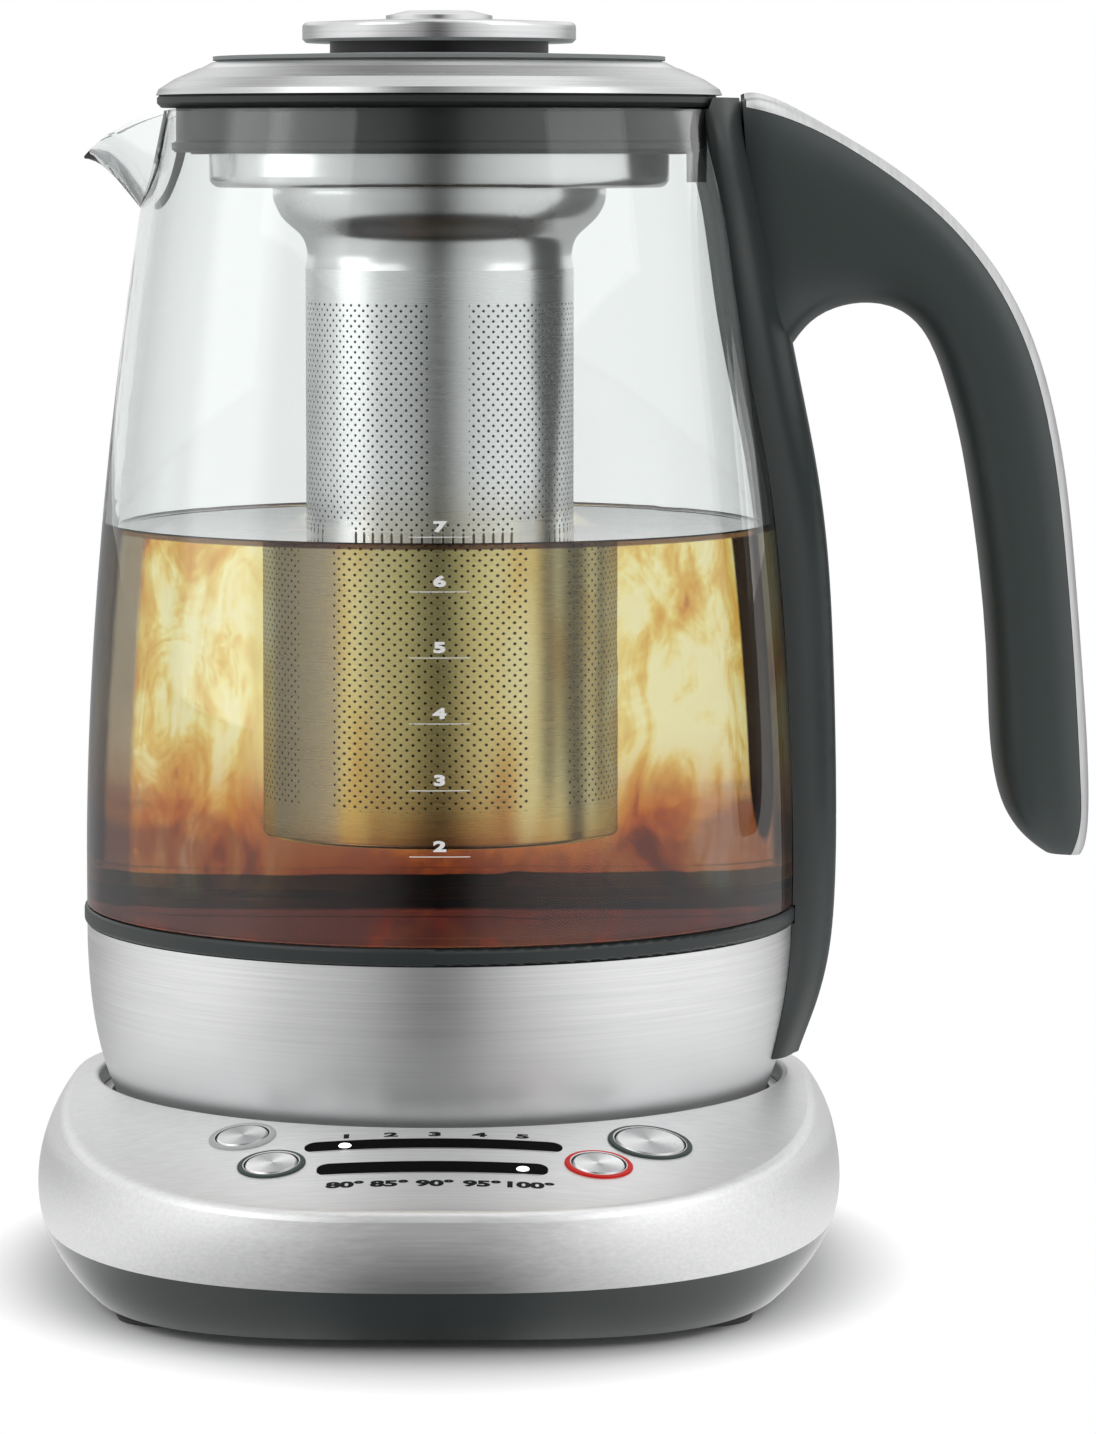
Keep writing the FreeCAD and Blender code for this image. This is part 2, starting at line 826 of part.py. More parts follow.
def build_feet():
    """Four rubber feet under the plate."""
    places = {
        "foot_front_left": (-size.foot_front_x, -size.foot_front_y),
        "foot_front_right": (size.foot_front_x, -size.foot_front_y),
        "foot_back_left": (-size.foot_back_x, size.foot_back_y),
        "foot_back_right": (size.foot_back_x, size.foot_back_y),
    }
    for name, (x, y) in places.items():
        corners = [
            (0, 0),
            (size.foot_radius - size.foot_taper, 0),
            (size.foot_radius, size.base_underside / 2),
            (size.foot_radius, size.base_underside),
            (0, size.base_underside),
        ]
        keep(name, move_to(turned(name, corners), x, y))


def bowl_curve(grow, start_degrees=0.0):
    """The steel bowl's outline, moved out by grow: a quarter of a superellipse, top first."""
    across = size.band_radius - size.bowl_bottom_radius + grow
    down = size.band_top - size.bowl_bottom + grow
    points = []
    steps = 9
    for step in range(steps + 1):
        turn = math.radians(start_degrees + (90.0 - start_degrees) * step / steps)
        x, z = superellipse(across, down, size.bowl_power, turn)
        points.append((size.bowl_bottom_radius + x, size.band_top - z))
    return points


def bowl_form(grow):
    """The solid inside the bowl's outline moved out by grow, up to the band's top."""
    return spun_under(list(reversed(bowl_curve(grow))))


def build_well():
    """The well that takes the jug's foot, with the bosses for the bottom screws."""
    well = bowl_form(size.well_gap + size.well_wall)
    height = size.well_floor_bottom - size.plate_top
    for x, y in screw_places():
        stand = Vector(x, y, size.plate_top)
        well = well.fuse(Part.makeCylinder(size.boss_radius, height + size.weld, stand))
        bore = Part.makeCylinder(size.screw_shank_radius + size.fit, height - size.weld, stand)
        well = well.cut(bore)
    well = well.cut(bowl_form(size.well_gap))
    well = well.cut(above(size.well_top))
    hole = Part.makeCylinder(size.dock_collar_radius + size.fit, size.base_top_level)
    shaped("base_well", well.cut(hole))


def build_dock():
    """The cordless connector in the middle of the well, with its pin."""
    groove_bottom = size.dock_top - size.dock_groove_depth
    flange_top = size.well_floor_bottom - size.fit
    flange_bottom = size.well_floor_bottom - size.dock_flange_drop
    collar_top = size.well_floor_top - size.fit
    corners = [
        (0, size.dock_bottom),
        (size.dock_collar_radius, size.dock_bottom),
        (size.dock_collar_radius, flange_bottom),
        (size.dock_flange_radius, flange_bottom),
        (size.dock_flange_radius, flange_top),
        (size.dock_collar_radius, flange_top),
        (size.dock_collar_radius, collar_top),
        (size.dock_column_radius, collar_top),
        (size.dock_column_radius, size.dock_top),
        (size.dock_groove_outer, size.dock_top),
        (size.dock_groove_outer, groove_bottom),
        (size.dock_groove_inner, groove_bottom),
        (size.dock_groove_inner, size.dock_top),
        (0, size.dock_top),
    ]
    keep("dock_connector", turned("dock_connector", corners))
    pin_top = size.dock_top + size.dock_pin_height
    pin = [
        (0, size.dock_top),
        (size.dock_pin_radius, size.dock_top),
        (size.dock_pin_radius, pin_top - size.dock_pin_chamfer),
        (size.dock_pin_radius - size.dock_pin_chamfer, pin_top),
        (0, pin_top),
    ]
    keep("dock_pin", turned("dock_pin", pin))


def build_screws():
    """The four screws that hold the plate to the well's bosses."""
    bars = []
    head_bottom = size.base_underside - size.screw_head_height
    for number, (x, y) in enumerate(screw_places(), start=1):
        head = cylinder(
            f"screw_head_{number}", size.screw_head_radius, size.screw_head_height,
            x, y, head_bottom,
        )
        shank = cylinder(
            f"screw_shank_{number}", size.screw_shank_radius, size.screw_length,
            x, y, size.base_underside,
        )
        bars += [head, shank]
    keep("base_screws", joined("base_screws", bars))


def build_buttons():
    """Each button: a ring in the panel, a sprung cap that travels in it, and its switch."""
    for name, x, y, radius in button_places():
        datum = size.panel_datum
        place = panel_placement(x, y, -datum)
        sleeve = radius - size.ring_lip
        bore = sleeve - size.ring_sleeve
        ring_corners = [
            (bore, datum - size.ring_depth),
            (sleeve, datum - size.ring_depth),
            (sleeve, datum),
            (radius, datum),
            (radius, datum + size.ring_proud - size.ring_chamfer),
            (radius - size.ring_chamfer, datum + size.ring_proud),
            (bore, datum + size.ring_proud),
        ]
        frame = keep(f"ring_{name}", turned(f"ring_{name}", ring_corners))
        frame.Placement = place
        face = bore - size.button_gap
        top = datum + size.button_proud
        cap_corners = [
            (0, datum - size.button_reach),
            (size.button_stem_radius, datum - size.button_reach),
            (size.button_stem_radius, datum - size.button_body),
            (face, datum - size.button_body),
            (face, top - size.button_edge),
            (face - size.button_edge, top),
            (0, top - size.button_dish),
        ]
        cap = keep(f"button_{name}", turned(f"button_{name}", cap_corners))
        cap.Placement = place
        build_switch(name, place)


def build_switch(name, place):
    """A switch under a button, standing on the control board."""
    side = size.switch_side
    body_top = size.panel_datum - size.switch_top
    deep = size.board_depth
    body = Part.makeBox(side, side, deep, Vector(-side / 2, -side / 2, body_top - deep))
    plunger = Part.makeCylinder(
        size.switch_plunger_radius, size.switch_plunger_height + size.weld,
        Vector(0, 0, body_top - size.weld),
    )
    switch = body.fuse(plunger)
    switch.Placement = place
    shaped(f"switch_{name}", switch.cut(board_block(0.0)))


def board_block(drop):
    """A thick block whose top face is the control board's upper face, lowered by drop."""
    reach = size.reach
    block = Part.makeBox(reach, reach, reach, Vector(-reach / 2, -reach / 2, -reach - drop))
    block.Placement = board_placement()
    return block


def board_placement():
    """The control board lies parallel to the panel's front line, board_depth under it."""
    slope = math.atan(size.panel_fall)
    middle = (size.board_back_y + size.board_front_y) / 2
    place = Vector(0, -middle, board_plane_height(-float(middle)))
    return Placement(place, Rotation(Vector(1, 0, 0), math.degrees(slope)))


def build_boards():
    """The control board under the panel and the power board at the back."""
    half = (size.board_front_y - size.board_back_y) / 2
    corners = [
        (-size.board_front_half, -half),
        (size.board_front_half, -half),
        (size.board_back_half, half),
        (-size.board_back_half, half),
    ]
    board = keep("control_board", padded("control_board", corners, size.board_thickness))
    lower = Placement(Vector(0, 0, -float(size.board_thickness)), Rotation())
    board.Placement = board_placement().multiply(lower)

    front = size.power_y - size.power_width / 2
    left = -(size.power_length / 2)
    top = size.power_top
    panel = box(
        "power_panel", (left, front, top - size.board_thickness), size.power_length,
        size.power_width, size.board_thickness,
    )
    relay_y = front + size.power_width - size.relay_width - size.board_thickness
    relay = box(
        "relay", (left + size.part_inset, relay_y, top), size.relay_length, size.relay_width,
        size.relay_height,
    )
    choke_x = size.power_length / 2 - size.part_inset - size.choke_length
    choke = box(
        "choke", (choke_x, relay_y, top), size.choke_length, size.choke_width,
        size.relay_height - size.weld,
    )
    capacitor = cylinder(
        "capacitor", size.capacitor_radius, size.relay_height, 0, front + size.part_inset, top
    )
    keep("power_board", joined("power_board", [panel, relay, choke, capacitor]))


def build_inlet():
    """The round inlet in the back of the skirt where the mains lead enters."""
    corners = [
        (size.inlet_bore, 0),
        (size.inlet_radius, 0),
        (size.inlet_radius, size.inlet_length),
        (size.inlet_flange, size.inlet_length),
        (size.inlet_flange, size.inlet_length + size.inlet_flange_thickness),
        (size.inlet_bore, size.inlet_length + size.inlet_flange_thickness),
    ]
    inlet = keep("cord_inlet", turned("cord_inlet", corners, ((size.inlet_round, (4,)),)))
    inlet.Placement = Placement(
        Vector(0, size.base_back - size.inlet_length + size.fit, size.inlet_height),
        Rotation(Vector(1, 0, 0), -90),
    )


# ---------------------------------------------------------------- jug


def build_band():
    """The steel bowl under the glass, open in the middle of its bottom."""
    band = bowl_form(0.0).cut(bowl_form(-size.band_wall))
    band = band.cut(Part.makeCylinder(size.bowl_bottom_radius, size.base_top_level))
    shaped("steel_band", band)


def build_jug_foot():
    """What the bowl holds: bottom cover, connector socket, heater, sensor and seals."""
    low = size.bowl_bottom - size.jug_bottom_drop
    high = low + size.jug_bottom_thickness
    bottom = [
        (size.socket_radius + size.fit, low),
        (size.bowl_bottom_radius - size.fit, low),
        (size.bowl_bottom_radius - size.fit, high),
        (size.socket_radius + size.fit, high),
    ]
    keep("jug_bottom", turned("jug_bottom", bottom))
    socket = [
        (size.socket_bore, low),
        (size.socket_radius, low),
        (size.socket_radius, high),
        (size.socket_flange, high),
        (size.socket_flange, high + size.socket_flange_thickness),
        (size.socket_radius, high + size.socket_flange_thickness),
        (size.socket_radius, size.socket_top),
        (size.pin_hole_radius, size.socket_top),
        (size.pin_hole_radius, size.socket_ceiling),
        (size.socket_bore, size.socket_ceiling),
    ]
    keep("jug_socket", turned("jug_socket", socket))

    under = size.band_top - size.heater_thickness
    heater = [
        (0, under),
        (size.band_radius - size.band_wall - size.fit, under),
        (size.band_radius - size.band_wall - size.fit, size.band_top),
        (0, size.band_top),
    ]
    keep("heater_plate", turned("heater_plate", heater))
    thermostat = [
        (0, under - size.thermostat_height),
        (size.thermostat_radius - size.thermostat_chamfer, under - size.thermostat_height),
        (size.thermostat_radius, under - size.thermostat_height + size.thermostat_chamfer),
        (size.thermostat_radius, under),
        (0, under),
    ]
    keep("thermostat", turned("thermostat", thermostat))
    sensor = [
        (0, 0),
        (size.sensor_radius, 0),
        (size.sensor_radius, size.sensor_height),
        (0, size.sensor_height),
    ]
    body = keep("temperature_sensor", turned("temperature_sensor", sensor))
    move_to(body, -size.sensor_x, 0, under - size.sensor_height)

    tube_centre = under - size.element_tube
    element = doc.addObject("Part::Torus", "element_ring")
    bind(element, Radius1=size.element_radius, Radius2=size.element_tube)
    bind(element, Angle3=size.element_arc)
    half_gap = (360 - float(size.element_arc)) / 2
    element.Placement = Placement(
        Vector(0, 0, tube_centre), Rotation(Vector(0, 0, 1), 90 + half_gap)
    )
    pins = []
    for number, side in enumerate((1, -1)):
        turn = math.radians(90 + side * size.element_pin_turn)
        pins.append(
            cylinder(
                f"element_pin_{number}", size.element_pin_radius, size.element_pin_length,
                size.element_radius * math.cos(turn), size.element_radius * math.sin(turn),
                tube_centre - size.element_pin_length,
            )
        )
    keep("heating_element", joined("heating_element", [element] + pins))

    gasket_low = size.band_top + size.fit
    gasket = [
        (size.glass_foot_radius - size.glass_wall, gasket_low),
        (size.glass_foot_radius, gasket_low),
        (size.glass_foot_radius, gasket_low + size.gasket_height),
        (size.glass_foot_radius - size.glass_wall, gasket_low + size.gasket_height),
    ]
    keep("glass_gasket", turned("glass_gasket", gasket))
    collar_low = size.band_top + size.fit
    collar = [
        (size.glass_foot_radius + size.fit, collar_low),
        (size.collar_radius, collar_low),
        (size.collar_radius, collar_low + size.collar_height),
        (size.glass_foot_radius + size.fit, collar_low + size.collar_height),
    ]
    keep("collar_ring", turned("collar_ring", collar, ((size.collar_round, (1, 2)),)))


def glass_radius(height):
    """Outer radius of the glass: full at the belly, drawn in towards the rim."""
    if height <= size.glass_belly_height:
        return float(size.glass_belly_radius)
    rise = (height - size.glass_belly_height) / (size.glass_rim_height - size.glass_belly_height)
    drawn_in = size.glass_belly_radius - size.glass_rim_radius
    return float(size.glass_belly_radius - drawn_in * rise ** float(size.glass_power))


def jug_form(grow, low, high):
    """The solid inside the glass's outer curve, moved out by grow."""
    steps = 9
    heights = [low + (high - low) * step / steps for step in range(steps + 1)]
    return spun_under([(glass_radius(height) + grow, height) for height in heights])


def spout_section(x, half_width, bottom, top):
    """A U-shaped closed outline across the spout at x."""
    deep = bottom + half_width * 0.9
    left = Vector(-x, -half_width, top)
    left_low = Vector(-x, -half_width, deep)
    lowest = Vector(-x, 0, bottom)
    right_low = Vector(-x, half_width, deep)
    right = Vector(-x, half_width, top)
    near_left = Vector(-x, -half_width * 0.72, bottom + half_width * 0.27)
    near_right = Vector(-x, half_width * 0.72, bottom + half_width * 0.27)
    edges = [
        Part.makeLine(left, left_low),
        Part.Arc(left_low, near_left, lowest).toShape(),
        Part.Arc(lowest, near_right, right_low).toShape(),
        Part.makeLine(right_low, right),
        Part.makeLine(right, left),
    ]
    return Part.Wire(edges)


def spout_form(shrink):
    """The beak of the spout as a solid, drawn in by shrink."""
    top = size.glass_rim_height + size.spout_tip_drop
    root_x, tip_x = size.spout_root_x, size.spout_tip_x
    root_half, tip_half = size.spout_root_half, size.spout_tip_half
    rise = size.spout_tip_height - size.spout_root_bottom
    sections = []
    # share of the way out, of the way up, and of the narrowing
    for out, up, narrow in ((0.0, 0.0, 0.0), (0.5, 0.52, 0.42), (0.8, 0.9, 0.75), (1.0, 1.0, 1.0)):
        x = root_x + (tip_x - root_x) * out - shrink * out * 0.9
        half = root_half + (tip_half - root_half) * narrow - shrink * 0.85
        bottom = size.spout_root_bottom + rise * up + shrink
        sections.append(spout_section(float(x), float(half), float(bottom), float(top)))
    return Part.makeLoft(sections, True, False)


def spout_trim():
    """What lies above the spout's rim, which dips from the jug's rim to the tip."""
    high = size.glass_rim_height
    tip_x, tip_height = size.spout_tip_x, size.spout_tip_height
    rim_x = size.spout_root_x
    points = [
        Vector(-rim_x, 0, high),
        Vector(-(rim_x + (tip_x - rim_x) * 0.55), 0, high - (high - tip_height) * 0.3),
        Vector(-(tip_x - 2.4), 0, tip_height + 2.6),
        Vector(-(tip_x + 1.0), 0, tip_height - 0.6),
    ]
    far = Vector(-(tip_x + 1.0), 0, high + size.reach)
    near = Vector(-rim_x, 0, high + size.reach)
    edges = [
        open_curve(points),
        Part.makeLine(points[-1], far),
        Part.makeLine(far, near),
        Part.makeLine(near, points[0]),
    ]
    face = Part.Face(Part.Wire(edges))
    face.translate(Vector(0, -size.glass_rim_radius, 0))
    return face.extrude(Vector(0, 2 * size.glass_rim_radius, 0))


def build_glass():
    """The glass: a tapered wall on a stepped foot, with the beak of the spout drawn out."""
    rim = size.glass_rim_height
    shoulder = size.glass_shoulder_height
    outside = jug_form(0.0, float(shoulder), float(rim))
    foot = Part.makeCylinder(
        size.glass_foot_radius, shoulder - size.glass_foot_height + size.weld,
        Vector(0, 0, size.glass_foot_height),
    )
    outside = outside.fuse(foot).fuse(spout_form(0.0))
    inner_low = shoulder + size.glass_wall / 2
    inside = jug_form(-size.glass_wall, float(inner_low), float(rim + size.spout_tip_drop))
    bore_low = size.glass_foot_height - size.weld
    bore = Part.makeCylinder(
        size.glass_foot_radius - size.glass_wall, inner_low - bore_low + size.glass_wall,
        Vector(0, 0, bore_low),
    )
    inside = inside.fuse(bore).fuse(spout_form(size.glass_wall * 0.8))
    glass = outside.cut(inside)
    glass = glass.cut(above(rim)).cut(spout_trim())
    shaped("jug_glass", glass)


# The arch of the handle: stations from the outer edge to the inner edge, each as how far it
# stands out from the jug's widest radius and how far it lies under the glass rim.
ARCH = (
    ((-10.5, -2.8), (-7.0, 54.4)),
    ((4.1, 2.0), (4.0, 38.2)),
    ((15.3, 8.6), (12.5, 35.7)),
    ((27.0, 17.6), (20.5, 37.8)),
    ((38.1, 30.6), (25.8, 44.4)),
    ((44.7, 43.8), (28.5, 52.0)),
    ((48.7, 58.2), (30.7, 60.2)),
    ((51.9, 80.7), (34.2, 81.3)),
    ((54.0, 105.4), (36.4, 105.6)),
    ((55.2, 125.4), (38.3, 126.0)),
    ((55.0, 134.4), (41.7, 133.8)),
    ((53.8, 138.8), (46.9, 138.4)),
)
# The post along the jug: share of its height, thickness on the jug's surface, half depth there
POST = (
    (0.000, 3.45, 17.0),
    (0.044, 4.80, 16.0),
    (0.092, 6.39, 13.0),
    (0.165, 7.60, 9.6),
    (0.283, 8.05, 8.6),
    (0.424, 8.57, 8.6),
    (0.536, 8.83, 9.6),
    (0.620, 8.22, 13.0),
    (0.704, 6.98, 18.0),
    (0.806, 5.84, 20.0),
    (0.907, 4.63, 20.0),
    (1.000, 3.50, 17.0),
)


def arch_stations():
    """The arch's outer and inner points, station by station."""
    radius, rim = size.jug_radius, size.glass_rim_height
    return [
        [Vector(radius + out, 0, rim - under) for out, under in station] for station in ARCH
    ]


def post_rows():
    """The post's height, outer edge and half depth, row by row."""
    foot, tall = float(size.handle_foot), float(size.handle_top - size.handle_foot)
    rows = []
    for share, thickness, half_depth in POST:
        height = foot + tall * share
        rows.append((height, post_surface(height) + thickness, half_depth))
    return rows


def arch_section(outer, inner):
    """A rounded section of the arch between its outer and inner edge."""
    middle = (outer + inner) * 0.5
    across = (outer - inner) * 0.5
    depth = min(float(size.handle_half_depth), across.Length + float(size.handle_end_round))
    points = []
    steps = 16
    for step in range(steps):
        turn = 2 * math.pi * step / steps
        u, v = superellipse(1.0, depth, size.handle_power, turn)
        points.append(middle + across * u + Vector(0, v, 0))
    return points


def post_surface(height):
    """Radius of the jug's outside at a height, glass or steel band."""
    if height >= size.band_top:
        return glass_radius(height)
    fall = (size.band_top - height) / (size.band_top - size.bowl_bottom)
    share = (1 - fall**size.bowl_power) ** (1 / size.bowl_power)
    width = size.band_radius - size.bowl_bottom_radius
    return float(size.bowl_bottom_radius + width * share)


def post_section(height, outer_x, half_depth):
    """An oval section of the post, sunk a little into the jug so that it can be cut to fit."""
    centre = post_surface(height) - size.saddle_sink
    points = []
    steps = 12
    for step in range(steps):
        turn = 2 * math.pi * step / steps
        x = centre + (outer_x - centre) * math.cos(turn)
        points.append(Vector(x, half_depth * math.sin(turn), height))
    return points


def build_handle():
    """The handle: an arched grip on a post that spreads into a saddle against the jug."""
    arch = skin([arch_section(*station) for station in arch_stations()])
    post = skin([post_section(*row) for row in post_rows()])
    handle = arch.fuse(post)

    clearance = size.handle_clearance
    under = float(size.band_top - size.collar_height)
    handle = handle.cut(jug_form(clearance, under, float(size.glass_rim_height)))
    collar = Part.makeCylinder(
        size.collar_radius + clearance, size.collar_height + 2 * size.fit,
        Vector(0, 0, size.band_top),
    )
    handle = handle.cut(collar).cut(bowl_form(clearance))
    lid_path = Part.makeCylinder(
        size.lid_path_radius, size.reach, Vector(0, 0, size.glass_rim_height - 0.01)
    )
    handle = handle.cut(lid_path)

    shaped("handle_trim", arch.common(trim_region(0.0)))
    shaped("handle", handle.cut(trim_region(float(size.fit))))


def trim_region(grow):
    """Where the steel trim lies along the arch's outer edge, grown inward for its seat."""
    depth = size.trim_depth + grow
    line = []
    for outer, inner in arch_stations():
        inward = (inner - outer).normalize()
        line.append(outer + inward * depth)
    end = line[-1] - Vector(0, 0, size.trim_tail)
    curve = open_curve(line + [end])
    far = size.reach
    corners = [end, Vector(far, 0, end.z), Vector(far, 0, far), Vector(line[0].x, 0, far)]
    edges = [curve]
    for start, stop in zip(corners, corners[1:] + [line[0]]):
        edges.append(Part.makeLine(start, stop))
    face = Part.Face(Part.Wire(edges))
    reach = 2 * size.handle_half_depth
    face.translate(Vector(0, -reach, 0))
    region = face.extrude(Vector(0, 2 * reach, 0))
    inner_block = Part.makeBox(
        size.trim_start_x - grow, 2 * reach, far, Vector(0, -reach, 0)
    )
    return region.cut(inner_block)


def build_clip():
    """The clip that hooks over the glass rim and holds the handle's top."""
    wide = size.clip_half_width * 2
    rim = size.glass_rim_height + size.fit
    tab = box(
        "clip_tab", (size.clip_inner_x, -size.clip_half_width, size.clip_bottom),
        size.clip_thickness, wide, rim - size.clip_bottom,
    )
    length = size.lid_path_radius - size.clip_inner_x - size.fit
    bridge = box(
        "clip_bridge", (size.clip_inner_x, -size.clip_half_width, rim),
        length, wide, size.clip_bridge,
    )
    trimmed = doc.addObject("Part::MultiCommon", "clip_round")
    hooked = joined("clip_hook", [tab, bridge])
    lid_path = cylinder("clip_bound", size.lid_path_radius - size.fit, size.reach)
    trimmed.Shapes = [hooked, lid_path]
    keep("rim_clip", trimmed)


# ---------------------------------------------------------------- lid and basket


def clip_notch(name):
    """The notch that clears the rim clip, in the lid's outer parts."""
    half = size.clip_half_width + size.clip_notch_gap
    return box(
        name, (size.lid_neck_radius, -half, 0), size.glass_rim_radius, half * 2,
        size.lid_flange_high,
    )


def build_lid():
    """The lid: a steel ring over a dark inner ring with a seal, notched for the rim clip."""
    flange_low, flange_high = size.lid_flange_low, size.lid_flange_high
    edge, top = size.lid_lip_radius, size.lid_ring_top
    lip = edge - size.lid_lip_wall
    brow = flange_high + size.lid_lip_height
    shoulder = size.lid_ledge_radius + size.lid_shoulder_run
    steel = [
        (size.lid_ledge_radius, top),
        (size.lid_ledge_radius, top - size.lid_steel),
        (shoulder, top - size.lid_steel - size.lid_shoulder_fall),
        (lip, brow - size.lid_flange_round),
        (lip, flange_high + size.fit),
        (edge, flange_high + size.fit),
        (edge - size.weld, brow),
        (edge - size.lid_brow_run, top - size.lid_shoulder_fall),
    ]
    keep("lid_ring", turned("lid_ring", steel))
    under = top - size.lid_steel - size.fit
    inner = [
        (size.lid_bore, size.lid_neck_bottom),
        (size.lid_neck_radius, size.lid_neck_bottom),
        (size.lid_neck_radius, flange_low),
        (size.lid_flange_radius - size.lid_flange_round, flange_low),
        (size.lid_flange_radius, flange_low + size.lid_flange_round),
        (size.lid_flange_radius, flange_high - size.lid_flange_round / 2),
        (size.lid_flange_radius - size.lid_flange_round / 2, flange_high),
        (lip - size.fit * 2, flange_high),
        (lip - size.fit * 2, flange_high + size.lid_flange_round / 2),
        (shoulder - size.fit, under - size.lid_shoulder_fall - size.fit),
        (size.lid_ledge_radius, under),
        (size.lid_ledge_radius, under - size.lid_ledge_drop),
        (size.lid_bore, under - size.lid_ledge_drop),
    ]
    keep("lid_inner", cut("lid_inner", turned("lid_inner_blank", inner), clip_notch("notch_1")))
    seal_low = size.lid_neck_bottom + size.fit * 4
    bead_top = seal_low + size.seal_bead_height
    seal = [
        (size.lid_neck_radius + size.fit, seal_low),
        (size.seal_bead_radius - size.seal_bead_round, seal_low),
        (size.seal_bead_radius, seal_low + size.seal_bead_round),
        (size.seal_bead_radius, bead_top - size.seal_bead_round),
        (size.seal_radius, bead_top),
        (size.seal_radius, flange_low - size.fit),
        (size.lid_neck_radius + size.fit, flange_low - size.fit),
    ]
    keep("lid_seal", cut("lid_seal", turned("lid_seal_blank", seal), clip_notch("notch_2")))


def build_basket():
    """The basket: a dish that hangs in the lid, a spun funnel and the perforated tube."""
    wall = size.dish_wall
    inner_radius = size.dish_radius - wall
    ledge = size.lid_ring_top - size.lid_steel - size.fit - size.lid_ledge_drop
    flange_low = ledge + size.rest_gap
    dish = [
        (size.funnel_top_radius, size.dish_bottom),
        (size.dish_radius, size.dish_bottom),
        (size.dish_radius, flange_low),
        (size.dish_flange_radius, flange_low),
        (size.dish_flange_radius, size.lid_ring_top),
        (inner_radius, size.dish_flange_top),
        (inner_radius, size.dish_bottom + wall),
        (size.funnel_top_radius, size.dish_bottom + wall),
    ]
    rounds = ((size.dish_round, (1,)), (size.dish_round - wall, (6,)))
    keep("basket_dish", turned("basket_dish", dish, rounds))

    outer = funnel_curve(0.0)
    inner = funnel_curve(-float(size.tube_wall))
    points_out = [Vector(radius, 0, height) for radius, height in outer]
    points_in = [Vector(radius, 0, height) for radius, height in reversed(inner)]
    edges = [
        open_curve(points_out),
        Part.makeLine(points_out[-1], points_in[0]),
        open_curve(points_in),
        Part.makeLine(points_in[-1], points_out[0]),
    ]
    shaped("basket_funnel", spun(edges))

    tube = [
        (size.tube_radius - size.tube_wall, size.tube_bottom),
        (size.tube_radius, size.tube_bottom),
        (size.tube_radius, size.tube_top),
        (size.tube_radius - size.tube_wall, size.tube_top),
    ]
    keep("basket_tube", turned("basket_tube", tube))
    floor_low = size.tube_bottom - size.tube_floor_height
    floor = [
        (0, floor_low),
        (size.tube_radius, floor_low),
        (size.tube_radius, size.tube_bottom),
        (size.tube_radius - size.tube_wall, size.tube_bottom),
        (0, size.tube_bottom - size.tube_floor_web),
    ]
    keep("basket_floor", turned("basket_floor", floor, ((size.tube_floor_round, (1,)),)))


def funnel_curve(grow):
    """The funnel's outline from its foot on the tube to the dish: an S-shaped flare."""
    foot, mouth = float(size.tube_radius), float(size.funnel_top_radius)
    low, high = float(size.tube_top), float(size.dish_bottom)
    bend = low + float(size.funnel_neck)
    flare = mouth - foot
    rise = high - bend
    # share of the flare and of the rise, from the foot up
    steps = ((0.0, 0.0), (0.08, 0.1), (0.34, 0.26), (0.7, 0.46), (0.94, 0.7), (1.0, 1.0))
    points = [(foot + grow, low)]
    points += [(foot + flare * out + grow, bend + rise * up) for out, up in steps]
    return points


def build_cap():
    """The basket's cap: a dark disc with a plug, a neck and a steel knob, held by a stud."""
    low = size.dish_flange_top + size.rest_gap
    high = low + size.cap_thickness
    plug_inner = size.cap_plug_radius - size.cap_plug_wall
    disc = [
        (size.stud_radius + size.fit, low),
        (plug_inner, low),
        (plug_inner, low - size.cap_plug_depth),
        (size.cap_plug_radius, low - size.cap_plug_depth),
        (size.cap_plug_radius, low),
        (size.cap_radius, low),
        (size.cap_radius, low + size.cap_edge),
        (size.neck_radius, high),
        (size.stud_radius + size.fit, high),
    ]
    keep("cap_disc", turned("cap_disc", disc))
    neck_top = high + size.neck_height
    neck = [
        (size.stud_radius + size.fit, high),
        (size.neck_radius, high),
        (size.neck_radius, neck_top),
        (size.stud_radius + size.fit, neck_top),
    ]
    keep("cap_neck", turned("cap_neck", neck))
    knob_top = neck_top + size.knob_height
    dome_seat = knob_top - size.dome_seat
    knob = [
        (size.stud_radius + size.fit, neck_top),
        (size.knob_radius - size.knob_edge, neck_top),
        (size.knob_radius, neck_top + size.knob_edge),
        (size.knob_radius, knob_top - size.knob_edge),
        (size.dome_radius + size.fit, knob_top),
        (size.dome_radius + size.fit, dome_seat),
        (size.stud_radius + size.fit, dome_seat),
    ]
    keep("cap_knob", turned("cap_knob", knob, ((size.knob_round, (3,)),)))
    dome = [
        (0, dome_seat),
        (size.dome_radius, dome_seat),
        (size.dome_radius, knob_top + size.dome_height * 0.45),
        (size.dome_radius * 0.6, knob_top + size.dome_height),
        (0, knob_top + size.dome_height),
    ]
    keep("cap_dome", turned("cap_dome", dome))
    stud = [
        (0, low - size.stud_head_height),
        (size.stud_head_radius, low - size.stud_head_height),
        (size.stud_head_radius, low),
        (size.stud_radius, low),
        (size.stud_radius, dome_seat),
        (0, dome_seat),
    ]
    keep("cap_stud", turned("cap_stud", stud))


# ---------------------------------------------------------------- build, check and write


def check_and_write():
    """Stop at any object that failed, then write each piece to its own file."""
    doc.recompute()
    for item in doc.Objects:
        if "Invalid" in item.State or "Error" in item.State:
            raise RuntimeError(f"{item.Label} failed: {item.State}")
    os.makedirs("parts", exist_ok=True)
    for name, piece in pieces.items():
        shape = piece.Shape
        if shape.isNull() or not shape.isValid() or shape.Volume <= 0:
            raise RuntimeError(f"{name} has no valid shape")
        shape.exportStep(f"parts/{name}.step")


